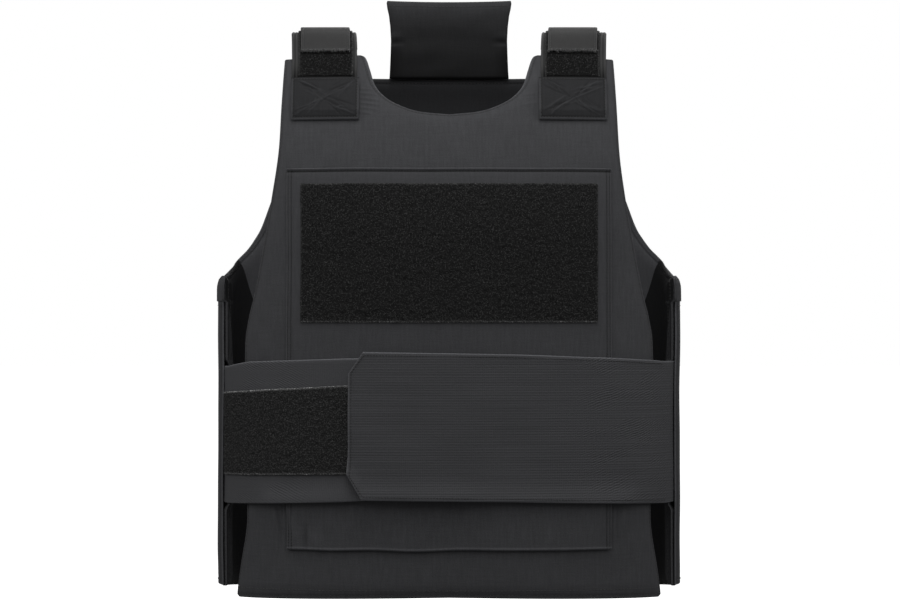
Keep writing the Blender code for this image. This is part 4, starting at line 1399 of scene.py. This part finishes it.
def make_under_band():
    """The wearer's right half of the waist band, with its loop field."""
    mouth = side_girth(WING_FRONT, BACK_THICKNESS)
    sewn = mouth + BAND_TUCKED
    front = FRONT_THICKNESS + FACET_GAP + POCKET_THICKNESS + GAP
    end = centre_girth(UNDER_BAND_END, front)
    columns = edged(-sewn, end, BAND_COLUMN, BAND_THICKNESS / 2)
    inner = band_offset(columns, 0.0, 1.0, 0.0)
    band = make_band("waist_band_right_elastic", columns, band_rises(UNDER_BAND_EDGES, columns, front),
                     inner, 31, PLAIN_ELASTIC)
    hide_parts("waist_band_under")
    field_end = centre_girth(UNDER_LOOP_EDGES[-1][0], front)
    columns = edged(-mouth, field_end, PILE_STEP, LOOP_THICKNESS / 2)
    bottom, top = band_rises(UNDER_LOOP_EDGES, columns, front)
    across, up = grid_between(columns, bottom, top, PILE_STEP, LOOP_THICKNESS / 2)
    on_band = band_offset(across, 0.0, 1.0, 0.0) + BAND_THICKNESS + GAP + 0.0004
    mat, loops = add_pile("waist_loop_mat", on_torso, across, up, on_band, LOOP_THICKNESS, LIT_WAIST_PILE, 22,
                          (4.0, 6.0, 0.3))
    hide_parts("waist_band_loop_field")
    edge = WAIST_LOOP_SEAM
    lines = []
    for rises, side in ((bottom, 1), (top, -1)):
        line = [(girth, float(np.interp(girth, columns, rises)) + side * edge)
                for girth in evenly(-mouth + 0.002, field_end - 0.002, 0.008)]
        lines.append((line, lambda girth, rise: (
            band_offset(girth, 0.0, 1.0, 0.0) + BAND_THICKNESS + LOOP_THICKNESS + 0.0006
        ), 1))
    stitching = add_stitching("waist_loop_stitching", on_torso, lines, LIGHTER_THREAD, FINE_PITCH)
    declare_sheet(band)
    declare_sheet(mat)


def make_over_band():
    """The wearer's left half of the waist band, with a clipped tip; it laps over the other half."""
    sewn = side_girth(WING_FRONT, BACK_THICKNESS) + BAND_TUCKED
    front = FRONT_THICKNESS + FACET_GAP + POCKET_THICKNESS + GAP
    end = centre_girth(UNDER_BAND_END, front)
    lapped = BAND_THICKNESS + GAP + LOOP_THICKNESS + GAP
    lap_face = front + lapped + BAND_THICKNESS
    tip = -centre_girth(OVER_BAND_TIP, lap_face)
    corner = -centre_girth(OVER_BAND_TIP - OVER_BAND_CORNER, lap_face)
    close = tip + np.array(OVER_BAND_TIP_COLUMNS)
    columns = np.concatenate((close, edged(corner, sewn, BAND_COLUMN, BAND_THICKNESS / 2)))
    columns = np.unique(np.round(columns, 5))
    inner = band_offset(columns, end, centre_girth(OVER_BAND_RELAXED, front), lapped) + 0.0002
    edges = band_rises(OVER_BAND_EDGES, columns, lap_face)
    band = make_band("waist_band_left_elastic", columns, edges, inner, 37, RIBBED_ELASTIC)
    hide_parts("waist_band_over")
    bottom, top = edges

    def level(girth, rise):
        reach = band_offset(girth, end, centre_girth(OVER_BAND_RELAXED, front), lapped)
        bottom_rise = np.interp(girth, columns, bottom)
        return reach + BAND_THICKNESS + 0.0006 + BAND_LIFT * bell(rise - bottom_rise, BAND_LIFT_REACH)

    inset = tip + BAND_SEAM
    low_corner, high_corner = (float(np.interp(inset, columns, side)) for side in (bottom, top))
    slant = BAND_SEAM * 1.15
    turn = corner + BAND_SEAM * 0.4
    low_turn = float(np.interp(turn, columns, bottom)) + BAND_SEAM
    high_turn = float(np.interp(turn, columns, top)) - BAND_SEAM
    girths = evenly(turn, BAND_SEAM_END, SEAM_STEP)
    tail = [(girth, float(np.interp(girth, columns, top)) - BAND_SEAM) for girth in girths]
    foot = [(girth, float(np.interp(girth, columns, bottom)) + BAND_SEAM) for girth in girths]
    lines = [
        (straight_pairs((inset, low_corner + slant), (inset, high_corner - slant)), level, 1),
        (straight_pairs((inset, high_corner - slant), (turn, high_turn)), level, 1),
        (straight_pairs((inset, low_corner + slant), (turn, low_turn)), level, 1),
        (tail, level, 1),
        (foot, level, 1),
    ]
    stitching = add_stitching("waist_band_stitching", on_torso, lines, SHADED_THREAD, FINE_PITCH)
    declare_sheet(band)


def straight_pairs(start, stop):
    """Straight seam as pairs of numbers."""
    return [tuple(point) for point in straight_line(start, stop, 0.008)]


def make_back_cover():
    """Cloth cover over the bands' sewn ends, hemmed and stitched along top and bottom."""
    sewn = BACK_THICKNESS + FACET_GAP
    raised = sewn + BAND_THICKNESS + FACET_GAP
    mouth = BACK_CENTRE - side_girth(WING_FRONT, BACK_THICKNESS) - COVER_BEHIND_WING
    risen = mouth - BAND_TUCKED - COVER_RISE_CLEARANCE
    fades = [BACK_CENTRE - side_girth(depth, BACK_THICKNESS) for depth in WING_FADE]
    columns = edged(-mouth, mouth, COVER_STEP, COVER_THICKNESS / 2)
    bottom = np.full(len(columns), COVER_BOTTOM - CHEST_LINE)
    top = np.full(len(columns), COVER_TOP - CHEST_LINE)
    across, up = grid_between(columns, bottom, top, COVER_STEP, COVER_THICKNESS / 2)
    over_bands = np.interp(np.abs(across), (risen - COVER_RISE_SPAN, risen), (sewn, raised))
    hem = np.interp(np.abs(across), fades, (sewn, raised))
    from_hem = np.minimum(up - bottom[:, None], top[:, None] - up)
    inner = hem + (over_bands - hem) * np.clip((from_hem - 0.001) / (COVER_HEM - 0.001), 0, 1)
    seam = bell(from_hem - COVER_SEAM, 0.0010)
    slack = COVER_SLACK * (1 + unevenness(across, up, 0.07, 8)) * np.clip((from_hem - 0.012) / 0.02, 0, 1)
    relief = slack + 0.0001 - 0.0002 * seam
    front_edge_shade = bell(mouth - np.abs(across) - COVER_FRONT_SHADE[0], COVER_FRONT_SHADE[1])

    def on_back(girth, rise, offset):
        return on_torso(BACK_CENTRE + girth, rise, offset)

    # painted shade in the seams and along the front edges
    cover = add_sheet("back_cover_cloth", on_back, across, up, inner, COVER_THICKNESS, SHELL,
                      relief, -0.3 * seam - 1.3 * front_edge_shade)
    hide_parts("back_cover")

    def level(girth, rise):
        return np.interp(np.abs(girth - BACK_CENTRE), fades, (sewn, raised)) + COVER_THICKNESS + 0.0002

    lines = []
    for rise in (COVER_BOTTOM + COVER_SEAM - CHEST_LINE, COVER_TOP - COVER_SEAM - CHEST_LINE):
        girths = evenly(BACK_CENTRE - mouth + 0.004, BACK_CENTRE + mouth - 0.004, SEAM_STEP)
        lines.append(([(girth, rise) for girth in girths], level, 1))
    stitching = add_stitching("back_cover_stitching", on_torso, lines, THREAD)
    declare_sheet(cover)


def strap_grid(sides, side, start, stop, thickness, column=STRAP_STEP, row=STRAP_STEP):
    """Grid over one shoulder; the sign of side says which."""
    low, high = sorted((side * sides[0], side * sides[1]))
    columns = edged(low, high, column, thickness / 2)
    rows = [np.full(len(columns), arc) for arc in (start, stop)]
    return grid_between(columns, *rows, row, thickness / 2)


def strap_level(up):
    """Inner offset of the wide strap at this length over the shoulder."""
    return table_value(WIDE_STRAP_PATH, np.degrees(up / LEAN_RISE))


def narrow_level(up):
    """Follows the wide strap in front and the back panel behind."""
    turn = np.degrees(up / LEAN_RISE)
    last = NARROW_STRAP_BACK[0][0]
    stack = WIDE_STRAP_THICKNESS + STRAP_LOOP_THICKNESS + HOOK_THICKNESS + 3 * GAP
    front = table_value(WIDE_STRAP_PATH, np.minimum(turn, last)) + stack
    return np.where(turn < last, front, table_value(NARROW_STRAP_BACK, turn))


def anchor_arc(z):
    """Length over the shoulder at which the anchor patch's outer face has this z."""
    outer = WIDE_STRAP_PATH[0][1] + WIDE_STRAP_THICKNESS + GAP + ANCHOR_THICKNESS
    return LEAN_RISE * math.asin((z - CHEST_LINE) / (LEAN_RISE + outer))


def make_wide_strap(name, side):
    """Wide strap sewn on the front, over the shoulder; the sign of side says which."""
    start, stop = map(arc_at, WIDE_STRAP_TURN)
    across, up = strap_grid(WIDE_STRAP, side, start, stop, WIDE_STRAP_THICKNESS, *WIDE_STRAP_STEPS)
    from_edge = np.minimum(np.abs(across) - WIDE_STRAP[0], WIDE_STRAP[1] - np.abs(across))
    ribs = sum(bell(from_edge - place, SEAM_WIDTH) for place in STRAP_RIBS)
    rib_shades = sum(bell(from_edge - place - STRAP_RIB_SHADE[0], STRAP_RIB_SHADE[1]) for place in STRAP_RIBS)
    foot = bell(up - arc_at(STRAP_FOOT[0]), arc_at(STRAP_FOOT[1]))
    # painted light on the ribs, painted shade beside them and painted shade at the foot
    wide = add_sheet(f"strap_front_{name}_cloth", on_shoulder, across, up, strap_level(up),
                     WIDE_STRAP_THICKNESS, STRAP, relief=STRAP_RIB_HEIGHT * ribs,
                     painted_shading=0.35 * ribs - 0.9 * rib_shades - 1.3 * foot)
    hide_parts(f"shoulder_strap_front_{name}")
    declare_sheet(wide)


def make_anchor_patch(name, side):
    """Creased patch stitched over the wide strap's front end."""
    bottom, top = anchor_arc(ANCHOR_BOTTOM), anchor_arc(ANCHOR_TOP)
    across, up = strap_grid(ANCHOR_PATCH, side, bottom, top, ANCHOR_THICKNESS, ANCHOR_STEP, ANCHOR_STEP)
    over_strap = WIDE_STRAP_PATH[0][1] + WIDE_STRAP_THICKNESS + GAP
    slope = (bottom, arc_at(WIDE_STRAP_TURN[0]) - 0.0014)
    inner = np.interp(up, slope, (FRONT_THICKNESS + FACET_GAP, over_strap))
    z = CHEST_LINE + (LEAN_RISE + 0.014) * np.sin(up / LEAN_RISE)
    creases = crossing_folds((ANCHOR_PATCH[0], ANCHOR_BOTTOM), (ANCHOR_PATCH[1], ANCHOR_TOP),
                             ANCHOR_CREASES, ANCHOR_CREASE_WIDTH, ANCHOR_CREASE_HEIGHT, 60 + side)
    rim = rim_distance(across, up)
    inside = np.clip((rim - 0.0026) / 0.002, 0, 1)
    creased = fold_relief(np.abs(across), z, creases) * inside
    relief = creased + ANCHOR_RELIEF
    tucked = bell(rim - ANCHOR_TUCK, SEAM_WIDTH)
    relief = np.maximum(relief - 0.0004 * tucked, 0.0)
    top_edge_shade = np.exp(-((up[:, -1:] - up) / 0.0012))
    # painted highlight inside the edge, painted shade in the tucked seam and along the top, painted light
    # and shade on the creases
    painted_shading = 1.0 * bell(rim - 0.0014, 0.0005) - 0.7 * tucked - 2.0 * top_edge_shade
    painted_shading = painted_shading + FOLD_PAINTED_SHADING * creased
    patch = add_sheet(f"anchor_{name}_cloth", on_shoulder, across, up, inner, ANCHOR_THICKNESS,
                      relief=relief, painted_shading=painted_shading, finish=ANCHOR_CLOTH)
    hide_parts(f"shoulder_anchor_{name}")
    inset = ANCHOR_SEAM
    low, high = sorted((side * (ANCHOR_PATCH[0] + inset), side * (ANCHOR_PATCH[1] - inset)))

    def on_patch(x, arc):
        return np.interp(arc, slope, (FRONT_THICKNESS + FACET_GAP, over_strap)) + ANCHOR_THICKNESS + 0.0004

    box = [(low, bottom + inset), (high, bottom + inset), (high, top - inset), (low, top - inset)]
    lines = [(straight_pairs(first, last), on_patch, 1) for first, last in zip(box, box[1:] + box[:1])]
    stitching = add_stitching(f"anchor_{name}_stitching", on_shoulder, lines, THREAD,
                              FINE_PITCH)
    declare_sheet(patch)


def make_strap_pile(name, side):
    """Loop pile on the wide strap, and the hook tape that is pressed on it."""
    across, up = strap_grid(STRAP_LOOP, side, *map(arc_at, STRAP_LOOP_TURN), STRAP_LOOP_THICKNESS)
    level = strap_level(up) + WIDE_STRAP_THICKNESS + GAP
    # painted shade along the bottom and a painted highlight along the sides
    mat, loops = add_pile(f"strap_{name}_loop_mat", on_shoulder, across, up, level,
                          STRAP_LOOP_THICKNESS, STRAP_PILE, 40 + side, (-0.9, 0.0, 3.4))
    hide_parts(f"shoulder_loop_{name}")
    declare_sheet(mat)

    across, up = strap_grid(HOOK, side, *map(arc_at, HOOK_TURN), HOOK_THICKNESS, *HOOK_STEPS)
    level = strap_level(up) + WIDE_STRAP_THICKNESS + STRAP_LOOP_THICKNESS + 2 * GAP
    # the hook tape is darkened all over: a painted shadow line below the narrow strap's end
    hooks = add_sheet(f"strap_{name}_hook_tape", on_shoulder, across, up, level, HOOK_THICKNESS,
                      HOOKS, painted_shading=-1.8)
    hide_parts(f"shoulder_hook_{name}")
    declare_sheet(hooks)


def make_narrow_strap(name, side):
    """Narrow strap from the back, over the wide one, with its frayed end."""
    start, stop = map(arc_at, NARROW_STRAP_TURN)
    across, up = strap_grid(NARROW_STRAP, side, start, stop, NARROW_STRAP_THICKNESS, *NARROW_STRAP_STEPS)
    rim = rim_distance(across, up)
    seam = bell(rim - NARROW_STRAP_SEAM, SEAM_WIDTH)
    # painted shade in the seam
    narrow = add_sheet(f"strap_back_{name}_cloth", on_shoulder, across, up, narrow_level(up),
                       NARROW_STRAP_THICKNESS, STRAP, relief=0.0003 - 0.0002 * seam,
                       painted_shading=-0.35 * seam)
    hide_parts(f"shoulder_strap_back_{name}")
    inset = NARROW_STRAP_SEAM
    low, high = sorted((side * (NARROW_STRAP[0] + inset), side * (NARROW_STRAP[1] - inset)))

    def on_narrow(x, arc):
        return narrow_level(arc) + NARROW_STRAP_THICKNESS + 0.0001

    box = [(low, start + inset), (high, start + inset), (high, stop - inset), (low, stop - inset)]
    seams = list(zip(box, box[1:] + box[:1]))
    cross, end = stop - inset - NARROW_STRAP_BOX, stop - inset
    seams += [((low, cross), (high, cross)), ((low, cross), (high, end)), ((high, cross), (low, end))]
    lines = [(straight_pairs(first, last), on_narrow, 1) for first, last in seams]
    stitching = add_stitching(f"strap_back_{name}_stitching", on_shoulder, lines, THREAD,
                              FINE_PITCH)
    draw = np.random.default_rng(50 + side)
    low, high = sorted((side * NARROW_STRAP[0], side * NARROW_STRAP[1]))
    outside, within = FRAYED_ZONE
    spots = draw.uniform((low, start - outside), (high, start + within), (FRAYED_COUNT, 2))
    levels = narrow_level(spots[:, 1]) + NARROW_STRAP_THICKNESS * draw.uniform(0.1, 1.0, len(spots))
    frayed = add_threads(f"strap_{name}_frayed_end", on_shoulder, spots, levels, FRAYED_REACH,
                         FRAYED_HEIGHT, FRAYED_RADIUS, draw, FRAYED_THREAD)
    declare_sheet(narrow)


def make_guard_topstitch(front):
    """Stitches along the guard's top, on the points of its front face."""
    row = int(np.argmin(np.abs(front[0, :, 2] - GUARD_SEAM)))
    line = front[3:-3, row]
    lengths = np.concatenate(([0.0], np.cumsum(np.linalg.norm(np.diff(line, axis=0), axis=1))))
    count = int(lengths[-1] / STITCH_PITCH)
    starts = np.arange(count) * lengths[-1] / count
    ends = [np.column_stack([np.interp(at, lengths, line[:, axis]) for axis in range(3)])
            for at in (starts, starts + lengths[-1] / count * STITCH_SHARE)]
    ups = np.tile((0.0, -1.0, 0.0), (count, 1))
    points, faces = thread_arcs(*ends, ups, STITCH_HEIGHT + 0.0003, STITCH_DIP, THREAD_RADIUS, THREAD_SIDES)
    add_piece("neck_guard_topstitch", points, faces, np.zeros((len(points), 2)), THREAD)


def make_neck_guard():
    """Padded guard that stands on the back panel's top edge."""
    bottom, top = GUARD_FORM[0][0], GUARD_FORM[-1][0]
    shares = np.sin(np.linspace(-1, 1, 2 * round(GUARD_FORM[0][1] / GUARD_STEP) + 1) * math.pi / 2)
    shares = 0.6 * shares + 0.4 * np.linspace(-1, 1, len(shares))
    rows = np.linspace(0, 1, round((top - bottom) / GUARD_STEP) + 1)
    heights = 0.35 * (1 - np.cos(rows * math.pi)) / 2 + 0.65 * rows
    heights = np.insert(heights, 1, 0.004)
    share, height = np.meshgrid(shares, heights, indexing="ij")
    z = bottom + (top - bottom) * height - GUARD_SAG * (1 - share**2) * height**4
    half_width = table_value(GUARD_FORM, z)
    fullness = table_value(GUARD_FORM, z, 2)
    x = share * half_width
    depth = GUARD_DEPTH + GUARD_TILT * (z - bottom) - GUARD_WRAP * np.abs(x * share)
    rounding = np.where(height < 0.5, *GUARD_ROUNDING)
    rim = (1 - np.abs(share) ** 9) ** 0.5 * (1 - np.abs(2 * height - 1) ** rounding) ** 0.5
    at_sides = np.clip((np.abs(share) - 0.72) / 0.22, 0, 1)
    crease = GUARD_CREASE_DEPTH * bell(z - GUARD_CREASE, GUARD_CREASE_WIDTH) * at_sides
    bulge = GUARD_THICKNESS / 2 * fullness * rim - crease * rim
    pulls = GUARD_PULLS[0] * unevenness(x, z, GUARD_PULLS[1], 3) * rim
    count = share.size
    near_ids = np.arange(count).reshape(share.shape)
    border = np.ones(share.shape, bool)
    border[1:-1, 1:-1] = False
    far_ids = np.where(border, near_ids, near_ids + count)
    points = np.concatenate([
        np.stack((x, depth + face * bulge - pulls, z), axis=-1).reshape(-1, 3) for face in (-1, 1)
    ])
    used, faces = np.unique(np.concatenate((quads(near_ids), quads(far_ids)[:, ::-1])), return_inverse=True)
    places = np.tile(np.stack((x, z), axis=-1).reshape(-1, 2), (2, 1))
    # painted shade in the low corners, painted light and shade beside the side creases, and painted light
    # at the top fading to painted shade at the foot
    low_corner = np.clip((np.abs(share) - 0.75) / 0.2, 0, 1) * np.clip((GUARD_CREASE - z) / 0.012, 0, 1)
    pinched = at_sides * sum(lightness * bell(z - GUARD_CREASE - above, reach)
                             for above, reach, lightness in GUARD_PINCH)
    painted_light_and_shade = np.tile((table_value(GUARD_SHADE, z) + pinched - GUARD_LOW_CORNER_SHADE * low_corner).ravel(), 2)
    guard = add_piece("neck_guard_pad", points[used], faces.reshape(-1, 4), places[used],
                      GUARD_CLOTH, painted_light_and_shade[used])
    held = np.tile(np.where(rim < 0.25, 1.0, LOOSE_PIN).ravel(), 2)
    inflate(guard, held[used], np.tile(GUARD_REACH * rim.ravel(), 2)[used])
    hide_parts("neck_guard")
    make_guard_topstitch(points[:count].reshape(*share.shape, 3))


def make_guard_tongue():
    """Tongue that holds the guard, sewn down behind the back panel's top edge."""
    inner = BACK_THICKNESS + FACET_GAP
    reach = centre_girth(TONGUE_HALF_WIDTH, inner)
    columns = BACK_CENTRE + edged(-reach, reach, TONGUE_STEPS[0], TONGUE_THICKNESS / 2)
    rows = [np.full(len(columns), rise_at(z, inner)) for z in (TONGUE_BOTTOM, GUARD_FORM[0][0] + 0.004)]
    across, up = grid_between(columns, *rows, TONGUE_STEPS[1], TONGUE_THICKNESS / 2)
    tongue = add_sheet("neck_guard_tongue", on_torso, across, up, inner, TONGUE_THICKNESS,
                       SHELL)
    inset = TONGUE_SEAM
    low, high = columns[0] + inset, columns[-1] - inset
    foot, head = float(rows[0][0]) + inset, rise_at(BACK_NECK_TOP - TONGUE_HEAD, inner)
    box = [(low, foot), (high, foot), (high, head), (low, head)]
    seams = [*zip(box, box[1:] + box[:1]), (box[0], box[2]), (box[1], box[3])]
    lines = [(straight_pairs(first, last), inner + TONGUE_THICKNESS + 0.0001, 1) for first, last in seams]
    stitching = add_stitching("neck_guard_stitching", on_torso, lines, THREAD)
    declare_sheet(tongue)


# Stage

def make_floor():
    """Large pale floor below the vest, which is held up by its straps."""
    bpy.ops.mesh.primitive_plane_add(size=40.0, location=(0.0, 0.0, -0.66))
    floor = bpy.context.object
    floor.name = "pale_floor"
    paper = bpy.data.materials.new("pale floor paper")
    paper.use_nodes = True
    shader = paper.node_tree.nodes["Principled BSDF"]
    shader.inputs["Base Color"].default_value = (0.93, 0.93, 0.93, 1.0)
    shader.inputs["Roughness"].default_value = 0.9
    shader.inputs["Emission Color"].default_value = (1.0, 1.0, 1.0, 1.0)
    shader.inputs["Emission Strength"].default_value = 0.95
    floor.data.materials.append(paper)
    floor.visible_diffuse = False
    floor.visible_glossy = False


def add_soft_light(name, place, aim, size, power):
    """Large square studio light turned towards a point."""
    lamp = bpy.data.lights.new(name, "AREA")
    lamp.shape = "SQUARE"
    lamp.size = size
    lamp.energy = power
    light = bpy.data.objects.new(name, lamp)
    light.location = place
    light.rotation_euler = (Vector(aim) - Vector(place)).to_track_quat("-Z", "Y").to_euler()
    bpy.context.scene.collection.objects.link(light)


def make_studio():
    """White surroundings as the camera sees them, dimmer as light, and soft lights all round."""
    world = bpy.data.worlds.new("studio")
    world.use_nodes = True
    tree = world.node_tree
    surroundings = tree.nodes["Background"]
    surroundings.inputs["Color"].default_value = (1.0, 1.0, 1.0, 1.0)
    seen = add_node(tree, "ShaderNodeLightPath").outputs["Is Camera Ray"]
    strength = add_node(tree, "ShaderNodeMapRange", {0: seen, 3: 0.20, 4: 1.0}).outputs[0]
    tree.links.new(strength, surroundings.inputs["Strength"])
    bpy.context.scene.world = world
    add_soft_light("key_light", (-0.04, -1.05, 0.60), (0.0, -0.1, -0.22), 1.0, 5.0)
    add_soft_light("steep_light", (0.0, -0.55, 1.20), (0.0, -0.1, -0.25), 0.7, 9.5)
    add_soft_light("left_light", (-1.25, -0.50, 0.20), (0.0, -0.05, -0.30), 0.8, 5.6)
    add_soft_light("right_light", (1.25, -0.50, 0.20), (0.0, -0.05, -0.30), 0.8, 5.6)
    add_soft_light("back_light", (0.2, 1.3, 0.4), (0.0, 0.0, -0.2), 1.0, 9.0)
    bpy.context.scene.view_settings.view_transform = "Standard"


def make_camera():
    """Camera with the photograph's view."""
    lens = bpy.data.cameras.new("camera")
    lens.sensor_width = SENSOR_WIDTH
    lens.lens = LENS
    camera = bpy.data.objects.new("camera", lens)
    camera.location = CAMERA_PLACE
    camera.rotation_euler = (math.radians(90), 0.0, 0.0)
    bpy.context.scene.collection.objects.link(camera)
    bpy.context.scene.camera = camera


make_camera()
make_front_panel()
make_back_panel()
make_pocket()
make_chest_loop_field()
make_under_band()
make_over_band()
make_back_cover()
make_neck_guard()
make_guard_tongue()
for shoulder in (("right", -1), ("left", 1)):
    make_wide_strap(*shoulder)
    make_anchor_patch(*shoulder)
    make_strap_pile(*shoulder)
    make_narrow_strap(*shoulder)
make_floor()
make_studio()
